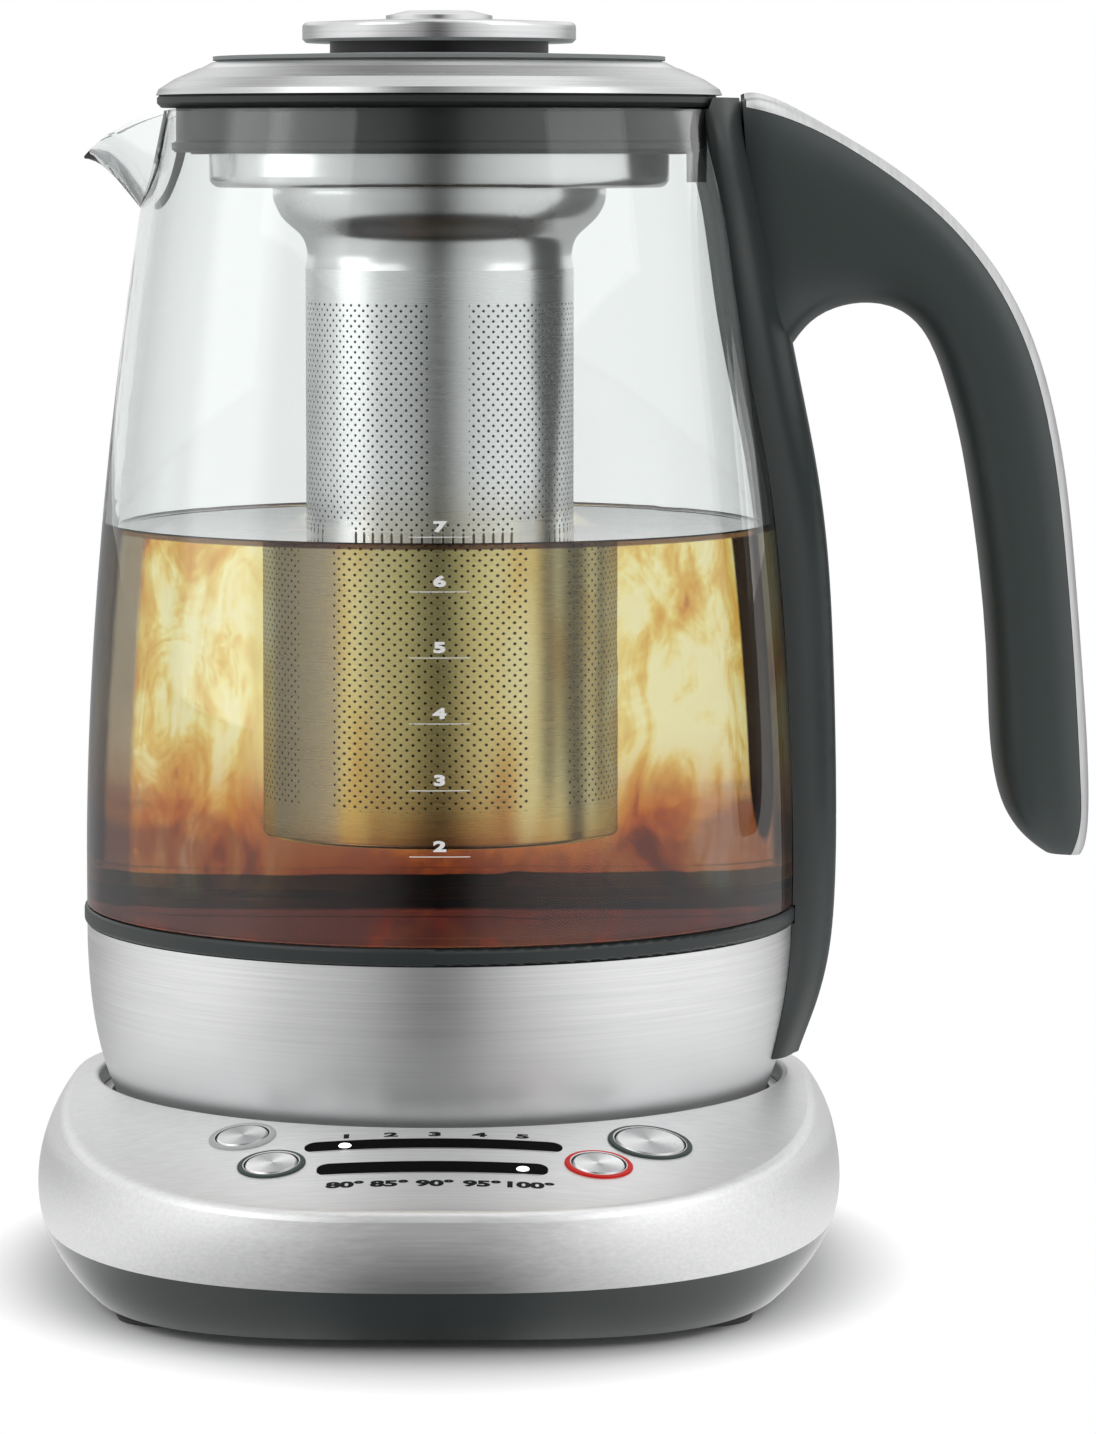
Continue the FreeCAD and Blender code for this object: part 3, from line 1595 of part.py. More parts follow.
build_cover()
build_windows()
build_skirt()
build_plate()
build_feet()
build_well()
build_dock()
build_screws()
build_buttons()
build_boards()
build_inlet()
build_band()
build_jug_foot()
build_glass()
build_handle()
build_clip()
build_lid()
build_basket()
build_cap()
check_and_write()
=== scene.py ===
"""The looks of an automatic tea maker: a glass jug of tea on a brushed steel base with a sloping
panel, a steel lid with a hanging basket, and an arched handle. Metres, in the frame's own axes."""
import math

import bpy
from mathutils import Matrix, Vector


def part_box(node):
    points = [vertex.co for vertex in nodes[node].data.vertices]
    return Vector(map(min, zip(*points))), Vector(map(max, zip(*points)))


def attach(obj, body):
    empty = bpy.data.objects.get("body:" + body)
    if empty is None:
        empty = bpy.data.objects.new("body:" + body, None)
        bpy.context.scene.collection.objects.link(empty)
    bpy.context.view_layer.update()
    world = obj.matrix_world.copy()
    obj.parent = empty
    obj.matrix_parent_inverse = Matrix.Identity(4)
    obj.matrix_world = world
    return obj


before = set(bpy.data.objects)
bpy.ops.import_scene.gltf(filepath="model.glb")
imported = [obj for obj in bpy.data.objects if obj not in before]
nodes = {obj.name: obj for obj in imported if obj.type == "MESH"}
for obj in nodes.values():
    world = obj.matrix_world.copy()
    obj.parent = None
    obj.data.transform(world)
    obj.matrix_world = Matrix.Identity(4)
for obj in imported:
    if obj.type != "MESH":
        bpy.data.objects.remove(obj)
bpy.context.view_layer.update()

MM = 0.001


def middle(name):
    """The middle of a node's box."""
    low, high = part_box(name)
    return (low + high) / 2


# ---------------------------------------------------------------- sizes

# from the frame's own boxes
glass_low, glass_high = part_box("jug_glass")
tube_low, tube_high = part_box("basket_tube")
GLASS_FOOT, GLASS_RIM = glass_low.z, glass_high.z
TUBE_FOOT, TUBE_RADIUS = tube_low.z, tube_high.x
TIME_ROW, HEAT_ROW = middle("time_window").y, middle("heat_window").y

# the panel's cone and the glass's outer curve, as the solids have them
MOUTH_RADIUS, MOUTH_HEIGHT, PANEL_FALL = 64.4 * MM, GLASS_FOOT - 29.9 * MM, 0.235
BELLY_RADIUS, BELLY_HEIGHT = glass_high.x, GLASS_FOOT + 9.6 * MM
RIM_DRAW_IN, GLASS_POWER, GLASS_WALL = 14.0 * MM, 1.8, 2.5 * MM

# the tea: its foot is a short cylinder, and it reaches into the glass so that no air lies between
TEA_FLOOR, TEA_STEP, TEA_LEVEL = GLASS_FOOT - 1.0 * MM, GLASS_FOOT + 3.6 * MM, GLASS_FOOT + 73.5 * MM
TEA_FOOT_RADIUS, TEA_SINK = 62.3 * MM, 0.2 * MM

# finishes that change at a height, and the heights of the band's painted shade
BAND_SHADE = GLASS_FOOT - 34.0 * MM, GLASS_FOOT - 4.0 * MM
PANEL_SATIN = MOUTH_HEIGHT - 9.5 * MM, MOUTH_HEIGHT - 7.0 * MM
WELL_LIP = MOUTH_HEIGHT - 14.0 * MM, MOUTH_HEIGHT - 13.0 * MM

# the holes in the basket's tube: their pitch, the heights from the tube's foot that they lie
# between, and the height from which the panels of holes are turned
HOLE_PITCH = 1.9 * MM
HOLES_FROM, HOLES_TO = (4.5 * MM, 4.7 * MM), (97.1 * MM, 97.3 * MM)
PANELS_TURN = 57.2 * MM, 57.3 * MM
UPPER_TURN, LOWER_TURN = math.radians(4.75), math.radians(-48.0)
HALF_STRIP = math.radians(8.4), math.radians(8.7)

# how many lumps of noise go to a metre of mould texture, and of a moulding's change of shade
SPARK, DRIFT = 2600.0, 22.0
# the same along x, y and z, for brushing round the jug, across the base and along the handle
ROUND_STREAKS, FLAT_STREAKS = (26.0, 26.0, 2600.0), (26.0, 1900.0, 1900.0)
TRIM_STREAKS = (1500.0, 30.0, 60.0)


def panel_height(x, y):
    """Height of the panel's surface at a place."""
    return MOUTH_HEIGHT - PANEL_FALL * (math.hypot(x, y) - MOUTH_RADIUS)


def glass_radius(height):
    """Outer radius of the glass at a height."""
    if height <= BELLY_HEIGHT:
        return BELLY_RADIUS
    rise = (height - BELLY_HEIGHT) / (GLASS_RIM - BELLY_HEIGHT)
    return BELLY_RADIUS - RIM_DRAW_IN * rise**GLASS_POWER


def tea_radius(height):
    """Radius of the tea at a height, a little inside the wall of the glass."""
    return glass_radius(height) - GLASS_WALL + TEA_SINK


# ---------------------------------------------------------------- shader arithmetic


class Signal:
    """A shader socket that takes part in Python sums: each sum adds its Math node."""

    def __init__(self, finish, socket):
        self.finish = finish
        self.socket = socket

    def __add__(self, other):
        return self.finish.math("ADD", self, other)

    def __sub__(self, other):
        return self.finish.math("SUBTRACT", self, other)

    def __rsub__(self, other):
        return self.finish.math("SUBTRACT", other, self)

    def __mul__(self, other):
        return self.finish.math("MULTIPLY", self, other)

    def __truediv__(self, other):
        return self.finish.math("DIVIDE", self, other)

    def __pow__(self, other):
        return self.finish.math("POWER", self, other)

    __radd__ = __add__
    __rmul__ = __mul__


class Finish:
    """A node material while it is written down."""

    def __init__(self, name, tree=None):
        if tree is None:
            self.material = bpy.data.materials.new(name)
            self.material.use_nodes = True
            tree = self.material.node_tree
        self.tree = tree
        tree.nodes.clear()

    def node(self, kind, settings=None, sockets=None, output=0):
        """Add a node: its settings first, then the values or signals of its sockets."""
        node = self.tree.nodes.new("ShaderNode" + kind)
        for name, value in (settings or {}).items():
            if name == "stops":
                self.set_stops(node.color_ramp, value)
            else:
                setattr(node, name, value)
        for name, value in (sockets or {}).items():
            socket = node.inputs[name]
            if isinstance(value, Signal):
                self.tree.links.new(value.socket, socket)
            else:
                socket.default_value = value
        return Signal(self, node.outputs[output]) if node.outputs else None

    def set_stops(self, ramp, stops):
        """Give a colour ramp its (position, colour) stops."""
        while len(ramp.elements) < len(stops):
            ramp.elements.new(0.5)
        for element, (position, colour) in zip(ramp.elements, stops):
            element.position = position
            element.color = (*colour, 1.0)

    def math(self, operation, *values):
        """One Math node."""
        return self.node("Math", {"operation": operation}, dict(enumerate(values)))

    def length(self, across, along):
        """How long a step is that goes across and along."""
        return self.math("SQRT", across * across + along * along)

    def clamp(self, value):
        """A value kept between 0 and 1."""
        return self.node("Clamp", None, {"Value": value, "Min": 0.0, "Max": 1.0})

    def step(self, value, low, high):
        """0 below low, 1 above high and a smooth rise between them."""
        sockets = {"Value": value, "From Min": low, "From Max": high}
        return self.node("MapRange", {"interpolation_type": "SMOOTHSTEP"}, sockets)

    def mix(self, factor, first, second):
        """A colour between two colours."""
        sockets = {0: factor, 6: first, 7: second}
        return self.node("Mix", {"data_type": "RGBA"}, sockets, 2)

    def vary(self, factor, tone, darkest, palest):
        """A tone that a factor takes from darkest to palest, which are shares of the tone."""
        return self.mix(factor, times(tone, darkest), times(tone, palest))

    def ramp(self, value, stops):
        """The colour that a ramp has at a value."""
        return self.node("ValToRGB", {"stops": stops}, {"Fac": value})

    def mix_shader(self, factor, first, second):
        """A shader between two shaders."""
        return self.node("MixShader", None, {0: factor, 1: first, 2: second})

    def place(self, scale=(1.0, 1.0, 1.0), move=(0.0, 0.0, 0.0)):
        """The point on the piece, in metres, moved and then scaled."""
        point = self.node("TexCoord", None, None, 3)
        moved = self.node("VectorMath", {"operation": "SUBTRACT"}, {0: point, 1: move})
        return self.node("VectorMath", {"operation": "MULTIPLY"}, {0: moved, 1: scale})

    def axes(self, vector):
        """The three parts of a vector."""
        split = self.node("SeparateXYZ", None, {0: vector})
        return [Signal(self, socket) for socket in split.socket.node.outputs]

    def point(self, centre=(0.0, 0.0, 0.0)):
        """x, y and z of the point on the piece, measured from a centre."""
        return self.axes(self.place(move=centre))

    def noise(self, lumps, detail=3.0, roughness=0.55, distortion=0.0, move=(0.0, 0.0, 0.0)):
        """Noise with so many lumps to a metre, the same all ways or one number for each axis."""
        if isinstance(lumps, float):
            lumps = (lumps, lumps, lumps)
        sockets = {
            "Vector": self.place(lumps, move), "Scale": 1.0, "Detail": detail,
            "Roughness": roughness, "Distortion": distortion,
        }
        return self.node("TexNoise", None, sockets)

    def bump(self, height, distance, strength=1.0):
        """A normal that a height tilts."""
        sockets = {"Height": height, "Distance": distance, "Strength": strength}
        return self.node("Bump", None, sockets)

    def done(self, volume=None, **sockets):
        """Close the material with its shader. Underlines in socket names stand for spaces."""
        named = {name.replace("_", " "): value for name, value in sockets.items()}
        outputs = {"Surface": self.node("BsdfPrincipled", None, named)}
        if volume:
            outputs["Volume"] = volume
        self.node("OutputMaterial", None, outputs)
        return self.material


def rgb(red, green, blue):
    """A colour as a socket takes it."""
    return (red, green, blue, 1.0)


def grey(level, warmth=0.0):
    """A neutral colour, a little warmer or cooler."""
    return rgb(level + warmth, level, level - warmth)


def times(colour, factor):
    """A colour made lighter or darker."""
    return rgb(*(min(part * factor, 1.0) for part in colour[:3]))


# ---------------------------------------------------------------- finishes of steel


def brushed_steel(name, tone, roughness, streaks, shade=None, satin=None):
    """Brushed steel: fine streaks, squeezed along the axes where streaks is large, that vary its
    tone and shine. It is painted darker and made rougher towards the lower of the two heights in
    shade, a painted shade, and is blasted to a satin above the two heights in satin."""
    darkest, palest = 0.78, 1.16
    finish = Finish(name)
    fine = finish.noise(streaks, detail=4.0, roughness=0.7)
    broad = finish.noise((9.0, 9.0, 22.0), detail=2.0)
    brushing = finish.clamp(0.5 + (fine - 0.5) * 1.3 + (broad - 0.5) * 0.4)
    colour = finish.vary(brushing, tone, darkest, palest)
    dull, blasted = 0.0, 0.0
    _, _, z = finish.point()
    if satin:
        blasted = finish.step(z, *satin)
    if shade:
        # painted shade: towards the lower height the colour falls to the darkest tone
        lit = finish.step(z, *shade)
        colour = finish.mix(lit, times(tone, darkest), colour)
        dull = (1.0 - lit) * 0.14
    return finish.done(
        Base_Color=colour,
        Metallic=1.0 - blasted * 0.3,
        Roughness=finish.clamp(dull + roughness - 0.06 + fine * 0.12),
        Normal=finish.bump(fine, 5.0e-6),
    )


def polished_steel(name, tone, roughness):
    """Drawn and polished metal with faint turning marks."""
    finish = Finish(name)
    marks = finish.noise((40.0, 40.0, 900.0))
    smudges = finish.noise(60.0)
    return finish.done(
        Base_Color=finish.vary(smudges, tone, 0.94, 1.04),
        Metallic=1.0,
        Roughness=finish.clamp(roughness - 0.04 + smudges * 0.08),
        Normal=finish.bump(marks, 1.0e-6, 0.4),
    )


def spun_steel(name, centre):
    """A spun steel button face: fine rings about its own middle, and a painted highlight of two
    bright wedges across it, where turned steel would catch the light."""
    ring_pitch, painted_highlight_turn = 0.34 * MM, 0.9
    finish = Finish(name)
    x, y, _ = finish.point(centre)
    radius = finish.length(x, y)
    turn = finish.math("ARCTAN2", y, x)
    rings = finish.math("SINE", radius * (math.tau / ring_pitch))
    wander = finish.noise(300.0, detail=2.0)
    # painted highlight: the colour swings from dark to bright twice round the middle
    painted_wedges = finish.math("COSINE", turn * 2.0 - painted_highlight_turn + (wander - 0.5) * 0.5)
    painted_highlight = finish.clamp(0.5 + painted_wedges * 0.42 + rings * 0.05)
    return finish.done(
        Base_Color=finish.mix(painted_highlight, grey(0.42, -0.004), grey(0.97)),
        Metallic=1.0,
        Roughness=finish.clamp(0.24 + wander * 0.08),
        Normal=finish.bump(rings, 2.0e-6, 0.4),
    )


def perforated_steel(name):
    """The basket's tube: brushed steel with fine staggered holes in panels, with plain strips
    between the panels and plain bands at the ends. The holes are not cut: they are painted as
    near-black dots, the painted shade of the tube's inside seen through them."""
    finish = Finish(name)
    x, y, z = finish.point()
    turn = finish.math("ARCTAN2", x, y * -1.0)
    across = turn * (TUBE_RADIUS / HOLE_PITCH)
    along = z / HOLE_PITCH
    first = cell_distance(finish, across, along)
    second = cell_distance(finish, across + 0.5, along + 0.5)
    nearest = finish.math("MINIMUM", first, second)
    hole = 1.0 - finish.step(nearest, 0.10, 0.16)
    rise = z - TUBE_FOOT
    upper = finish.step(rise, *PANELS_TURN)
    quarter = math.tau / 4
    shift = upper * UPPER_TURN + (1.0 - upper) * LOWER_TURN
    strip = finish.math("PINGPONG", turn - shift + 4 * quarter, quarter / 2)
    panel = finish.step(strip, *HALF_STRIP)
    height = finish.step(rise, *HOLES_FROM) * (1.0 - finish.step(rise, *HOLES_TO))
    # painted shade: near-black dots where the holes lie
    painted_hole_shade = hole * panel * height
    streaks = finish.noise((30.0, 30.0, 1700.0))
    steel = finish.mix(streaks, grey(0.90), grey(1.0))
    return finish.done(
        Base_Color=finish.mix(painted_hole_shade, steel, rgb(0.012, 0.012, 0.011)),
        Metallic=1.0 - painted_hole_shade,
        Roughness=finish.clamp(0.22 + streaks * 0.12 + painted_hole_shade * 0.5),
        Normal=finish.bump(1.0 - painted_hole_shade, 8.0e-5, 0.6),
    )


def cell_distance(finish, across, along):
    """Distance from the middle of the unit cell that a point lies in."""
    u = finish.math("FRACT", across) - 0.5
    v = finish.math("FRACT", along) - 0.5
    return finish.length(u, v)


# ---------------------------------------------------------------- finishes of plastic and rubber


def moulded(name, tone, roughness, coat=0.0):
    """Moulded plastic: a very fine spark texture and a slow drift of shade."""
    finish = Finish(name)
    spark = finish.noise(SPARK, detail=2.0)
    drift = finish.noise(DRIFT)
    return finish.done(
        Base_Color=finish.vary(drift, tone, 0.92, 1.09),
        Roughness=finish.clamp(roughness - 0.06 + drift * 0.08 + spark * 0.05),
        Coat_Weight=coat,
        Normal=finish.bump(spark, 3.0e-6, 0.6),
    )


def handle_plastic(name):
    """The handle's satin plastic, darker on the strip that lies against the glass."""
    strip_proud, body_proud = 2.0 * MM, 10.0 * MM
    finish = Finish(name)
    x, y, z = finish.point()
    rise = finish.clamp((z - BELLY_HEIGHT) / (GLASS_RIM - BELLY_HEIGHT))
    glass = BELLY_RADIUS - rise**GLASS_POWER * RIM_DRAW_IN
    proud = finish.length(x, y) - glass
    body = finish.step(proud, strip_proud, body_proud)
    spark = finish.noise(SPARK, detail=2.0)
    drift = finish.noise(DRIFT)
    tone = finish.mix(body, rgb(0.016, 0.021, 0.021), rgb(0.046, 0.058, 0.057))
    return finish.done(
        Base_Color=finish.mix(drift * 0.4, tone, rgb(0.036, 0.046, 0.045)),
        Roughness=finish.clamp(0.32 + drift * 0.08 + spark * 0.05),
        Normal=finish.bump(spark, 3.0e-6, 0.6),
    )


def well_lining(name):
    """The well in the base: a steel lip round its mouth and dark plastic below."""
    finish = Finish(name)
    _, _, z = finish.point()
    lip = finish.step(z, *WELL_LIP)
    streaks = finish.noise(ROUND_STREAKS)
    steel = finish.mix(streaks, grey(0.70), grey(0.88))
    return finish.done(
        Base_Color=finish.mix(lip, rgb(0.020, 0.023, 0.023), steel),
        Metallic=lip,
        Roughness=finish.clamp(0.28 + streaks * 0.16),
        Normal=finish.bump(streaks, 4.0e-6, 0.6),
    )


def button_ring(name, tone, centre, edge):
    """The ring round a button: coloured at its outer edge and bare steel on its inner slope."""
    colour_width, blend = 0.90 * MM, 0.15 * MM
    finish = Finish(name)
    x, y, _ = finish.point(centre)
    radius = finish.length(x, y)
    outer = finish.step(radius, edge - colour_width - blend, edge - colour_width)
    spark = finish.noise(SPARK, detail=2.0)
    colour = finish.vary(spark, tone, 0.9, 1.12)
    return finish.done(
        Base_Color=finish.mix(outer, grey(0.78), colour),
        Metallic=1.0 - outer,
        Roughness=finish.clamp(0.30 + spark * 0.08),
        IOR=1.2,
        Normal=finish.bump(spark, 3.0e-6, 0.6),
    )


def window_black(name, front):
    """A smoked window over a lamp: nearly black with little shine, and a painted highlight, a
    bright metal strip along the edge that is furthest from the jug. front is how far that edge
    lies in front of the origin."""
    edge_highlight_width, blend = 0.30 * MM, 0.12 * MM
    finish = Finish(name)
    _, y, _ = finish.point()
    # painted highlight: a thin bright strip along the front edge
    painted_edge_highlight = finish.step(y * -1.0, front - edge_highlight_width - blend, front - edge_highlight_width)
    dust = finish.noise(1800.0)
    black = finish.mix(dust, grey(0.003), grey(0.008))
    return finish.done(
        Base_Color=finish.mix(painted_edge_highlight, black, grey(0.72)),
        Metallic=painted_edge_highlight,
        Roughness=finish.clamp(0.16 + dust * 0.12),
        Specular_IOR_Level=0.06,
        IOR=1.1,
        Normal=finish.bump(dust, 1.0e-6, 0.3),
    )


def rubber(name, tone, roughness):
    """Silicone or rubber: dull, with a soft mottle and dust in its pores."""
    finish = Finish(name)
    pores = finish.noise(1500.0, roughness=0.7)
    mottle = finish.noise(70.0, detail=4.0)
    return finish.done(
        Base_Color=finish.vary(mottle, tone, 0.85, 1.18),
        Roughness=finish.clamp(roughness - 0.1 + pores * 0.2),
        Normal=finish.bump(pores, 1.2e-5, 0.5),
    )


def circuit_board(name):
    """Green solder mask with copper runs that show through it."""
    turns_across, turns_along = 2600.0, 1900.0
    finish = Finish(name)
    x, y, _ = finish.point()
    tracks = finish.math("SINE", x * turns_across) * finish.math("SINE", y * turns_along)
    runs = finish.step(tracks, 0.25, 0.4)
    speck = finish.noise(900.0)
    mask = finish.mix(runs, rgb(0.012, 0.10, 0.045), rgb(0.03, 0.19, 0.08))
    return finish.done(
        Base_Color=finish.mix(speck * 0.25, mask, rgb(0.10, 0.30, 0.16)),
        Roughness=finish.clamp(0.28 + speck * 0.2),
        Coat_Weight=0.4,
        Normal=finish.bump(runs, 2.0e-5, 0.5),
    )


def printed(name, tone):
    """Screen-printed ink, a little uneven."""
    finish = Finish(name)
    grain = finish.noise(5000.0, detail=2.0)
    return finish.done(
        Base_Color=finish.vary(grain, tone, 0.88, 1.1),
        Roughness=finish.clamp(0.42 + grain * 0.15),
        IOR=1.15,
        Normal=finish.bump(grain, 2.0e-6, 0.4),
    )


def lit_lens(name, tone):
    """A small lit lens with a faint haze in it."""
    finish = Finish(name)
    haze = finish.noise(3000.0, detail=2.0)
    return finish.done(
        Base_Color=finish.vary(haze, tone, 0.95, 1.0),
        Roughness=finish.clamp(0.3 + haze * 0.1),
        Emission_Color=finish.vary(haze, tone, 0.95, 1.0),
        Emission_Strength=2.2,
    )


# ---------------------------------------------------------------- finishes of glass and tea


def clear_glass(name):
    """Clear borosilicate glass: a trace of unevenness, and a grey green depth where the eye
    looks along its wall."""
    finish = Finish(name)
    ripple = finish.noise((14.0, 14.0, 9.0), detail=1.0)
    film = finish.noise((90.0, 90.0, 60.0))
    depth = finish.node("VolumeAbsorption", None, {"Color": rgb(0.80, 0.835, 0.835), "Density": 130.0})
    return finish.done(
        volume=depth,
        Base_Color=finish.mix(film, rgb(0.975, 0.99, 0.985), rgb(0.99, 1.0, 0.995)),
        Roughness=0.0,
        IOR=1.47,
        Transmission_Weight=1.0,
        Normal=finish.bump(ripple, 4.0e-5, 0.25),
    )


def tea_clouds(finish, x, level, curl):
    """Cream and gold clouds that turn orange brown round the tube and dark red lower down, with a
    golden cast in front of the tube."""
    aside = finish.math("ABSOLUTE", x)
    billow = finish.noise((26.0, 26.0, 19.0), detail=4.0, distortion=1.4)
    near = 1.0 - finish.step(aside, 30.0 * MM, 52.0 * MM)
    open_tea = finish.step(aside, 24.0 * MM, 32.0 * MM)
    cloud = (billow - 0.5) * 2.1 + (curl - 0.5) * 1.2
    settled = 1.0 - finish.step(level, 0.02, 0.42)
    swirl = 0.50 + open_tea * 0.85
    browning = 0.32 - level * 0.36
    strength = 0.27 + cloud * swirl + near * browning + settled * 0.47
    weak_to_strong = (
        (0.0, (0.97, 0.93, 0.68)),
        (0.16, (0.93, 0.80, 0.36)),
        (0.32, (0.80, 0.50, 0.10)),
        (0.48, (0.68, 0.31, 0.04)),
        (0.64, (0.62, 0.20, 0.015)),
        (0.80, (0.40, 0.07, 0.008)),
        (1.0, (0.12, 0.018, 0.008)),
    )
    clouds = finish.ramp(finish.clamp(strength), weak_to_strong)
    before_tube = 1.0 - finish.step(aside, 28.0 * MM, 36.0 * MM)
    cast = before_tube * finish.step(level, 0.20, 0.42) * 0.8
    return finish.mix(cast, clouds, rgb(1.0, 0.86, 0.36))


def beside_handle(finish, x, y, z):
    """1 on the two dark strips painted on the tea to either side of the handle, a painted
    reflection of the handle. Each ends in a round above the tea's floor."""
    strip_y, half_width = 26.0 * MM, 5.5 * MM
    straight_from, end_length = TEA_FLOOR + 32.0 * MM, 16.0 * MM
    drop = finish.clamp((straight_from - z) / end_length)
    off = (finish.math("ABSOLUTE", y) - strip_y) / half_width
    inside = 1.0 - finish.step(finish.length(off, drop), 0.85, 1.0)
    return inside * finish.step(x, 46.0 * MM, 50.0 * MM)


def brewed_tea(name):
    """Tea while it brews: clouds, dark red tea that has settled over the heater, a dim floor, a
    golden line at the glass's foot, a dark line of painted shade under the brim, and painted
    dark reflections at the two sides: one down the left edge and two beside the handle."""
    finish = Finish(name)
    x, y, z = finish.point()
    radius = finish.length(x, y)
    level = (z - TEA_FLOOR) / (TEA_LEVEL - TEA_FLOOR)
    curl = finish.noise(
        (70.0, 70.0, 46.0), detail=5.0, roughness=0.62, distortion=2.2, move=(0.01, 0.02, 0.0)
    )
    # painted reflection: a dark strip down the tea's left edge, fixed on the tea
    leftness = x * -1.0 / radius
    painted_edge_reflection = finish.step(leftness, 0.84, 0.865)
    tea_with_painted_edge = finish.mix(painted_edge_reflection, tea_clouds(finish, x, level, curl), rgb(0.16, 0.12, 0.125))
    back = finish.step(y, -20.0 * MM, 20.0 * MM)
    sunk = 1.0 - finish.step(level + back * 0.12, 0.09, 0.18)
    dregs = finish.mix(finish.step(curl, 0.52, 0.68), rgb(0.075, 0.026, 0.034), rgb(0.20, 0.022, 0.012))
    settled = finish.mix(sunk, tea_with_painted_edge, dregs)
    floor = 1.0 - finish.step(z, TEA_FLOOR + 0.05 * MM, TEA_FLOOR + 0.1 * MM)
    foot_line = (1.0 - finish.step(level, 0.014, 0.02)) * (1.0 - floor)
    lined = finish.mix(foot_line, settled, rgb(0.80, 0.42, 0.06))
    # painted reflection of the handle: near-black strips on the tea
    tea_with_painted_handle = finish.mix(beside_handle(finish, x, y, z), lined, rgb(0.002, 0.001, 0.001))
    floored = finish.mix(floor, tea_with_painted_handle, rgb(0.050, 0.022, 0.024))
    # painted shade: a dark line just under the brim, close to the wall, where the meniscus shows dark
    edge = tea_radius(TEA_LEVEL)
    line_high, line_deep, blend = 1.0 * MM, 0.9 * MM, 0.3 * MM
    at_brim = finish.step(z, TEA_LEVEL - line_high - blend, TEA_LEVEL - line_high)
    at_wall = finish.step(radius, edge - line_deep - blend, edge - line_deep)
    return finish.done(
        Base_Color=finish.mix(at_brim * at_wall, floored, rgb(0.06, 0.022, 0.012)),
        Roughness=0.0,
        IOR=1.33,
        Transmission_Weight=1.0,
    )


# ---------------------------------------------------------------- ways of modelling


def start(add, **settings):
    """Add a primitive with nothing else selected, and return it."""
    bpy.ops.object.select_all(action="DESELECT")
    add(**settings)
    return bpy.context.object


def finished(piece, name, body, material, smooth_angle=None):
    """Name a piece, put its place into its mesh, give it its finish and hang it on its body."""
    bpy.ops.object.select_all(action="DESELECT")
    piece.select_set(True)
    bpy.context.view_layer.objects.active = piece
    bpy.ops.object.transform_apply(location=True, rotation=True, scale=True)
    if smooth_angle is not None:
        bpy.ops.object.shade_smooth_by_angle(angle=math.radians(smooth_angle))
    piece.name = piece.data.name = name
    piece.data.materials.clear()
    piece.data.materials.append(material)
    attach(piece, body)
    return piece


def raise_rings(rings, segments):
    """A closed round piece: a filled circle that is extruded and scaled from ring to ring."""
    radius, height = rings[0]
    piece = start(
        bpy.ops.mesh.primitive_circle_add, vertices=segments, radius=radius,
        fill_type="NGON", location=(0, 0, height),
    )
    bpy.ops.object.transform_apply(location=True)
    bpy.ops.object.mode_set(mode="EDIT")
    bpy.ops.mesh.select_all(action="SELECT")
    for ring_radius, ring_height in rings[1:]:
        lift = {"value": (0, 0, ring_height - height)}
        bpy.ops.mesh.extrude_region_move(TRANSFORM_OT_translate=lift)
        scale = ring_radius / radius
        bpy.ops.transform.resize(value=(scale, scale, 1), center_override=(0, 0, ring_height))
        radius, height = ring_radius, ring_height
    bpy.ops.mesh.select_all(action="SELECT")
    bpy.ops.mesh.normals_make_consistent(inside=False)
    bpy.ops.object.mode_set(mode="OBJECT")
    return piece


def join(pieces):
    """Join several pieces into the first."""
    bpy.ops.object.select_all(action="DESELECT")
    for piece in pieces:
        piece.select_set(True)
    bpy.context.view_layer.objects.active = pieces[0]
    bpy.ops.object.join()
    return pieces[0]


def text_mesh(words, size, stretch, x, y, depth):
    """Bold upright letters as a mesh, flat on the XY plane about (x, y), a little thick."""
    letters = start(bpy.ops.object.text_add, location=(x, y, 0))
    letters.data.body = words
    letters.data.size = size
    letters.data.align_x = "CENTER"
    letters.data.align_y = "CENTER"
    letters.data.extrude = depth
    letters.data.offset = 0.05 * size
    letters.data.resolution_u = 4
    letters.scale = (stretch, 1.0, 1.0)
    bpy.ops.object.convert(target="MESH")
    bpy.ops.object.transform_apply(location=True, rotation=True, scale=True)
    return bpy.context.object


def lay_on_panel(piece):
    """Lay a flat mesh on the panel's cone."""
    for vertex in piece.data.vertices:
        x, y, thickness = vertex.co
        vertex.co.z = panel_height(x, y) + thickness


def lay_on_glass(piece):
    """Wrap a mesh drawn flat, with its y as its height, round the front of the glass."""
    for vertex in piece.data.vertices:
        x, height, thickness = vertex.co
        radius = glass_radius(height) + thickness
        turn = x / radius
        vertex.co = (radius * math.sin(turn), -radius * math.cos(turn), height)


# ---------------------------------------------------------------- the scene's own pieces


def make_tea(material):
    """The tea in the jug, with a low rim where it climbs the glass."""
    steps, clear_of_step = 16, 0.05 * MM
    rim = (0.5, 0.25), (1.1, 0.42), (2.2, 0.5)
    rings = [(TEA_FOOT_RADIUS, TEA_FLOOR), (TEA_FOOT_RADIUS, TEA_STEP)]
    for step in range(steps + 1):
        height = TEA_STEP + (TEA_LEVEL - TEA_STEP) * step / steps + clear_of_step
        rings.append((tea_radius(height), height))
    edge = rings[-1][0]
    for inward, drop in rim:
        rings.append((edge - inward * MM, TEA_LEVEL - drop * MM))
    tea = raise_rings(rings, segments=160)
    return finished(tea, "tea", "jug", material, smooth_angle=40)


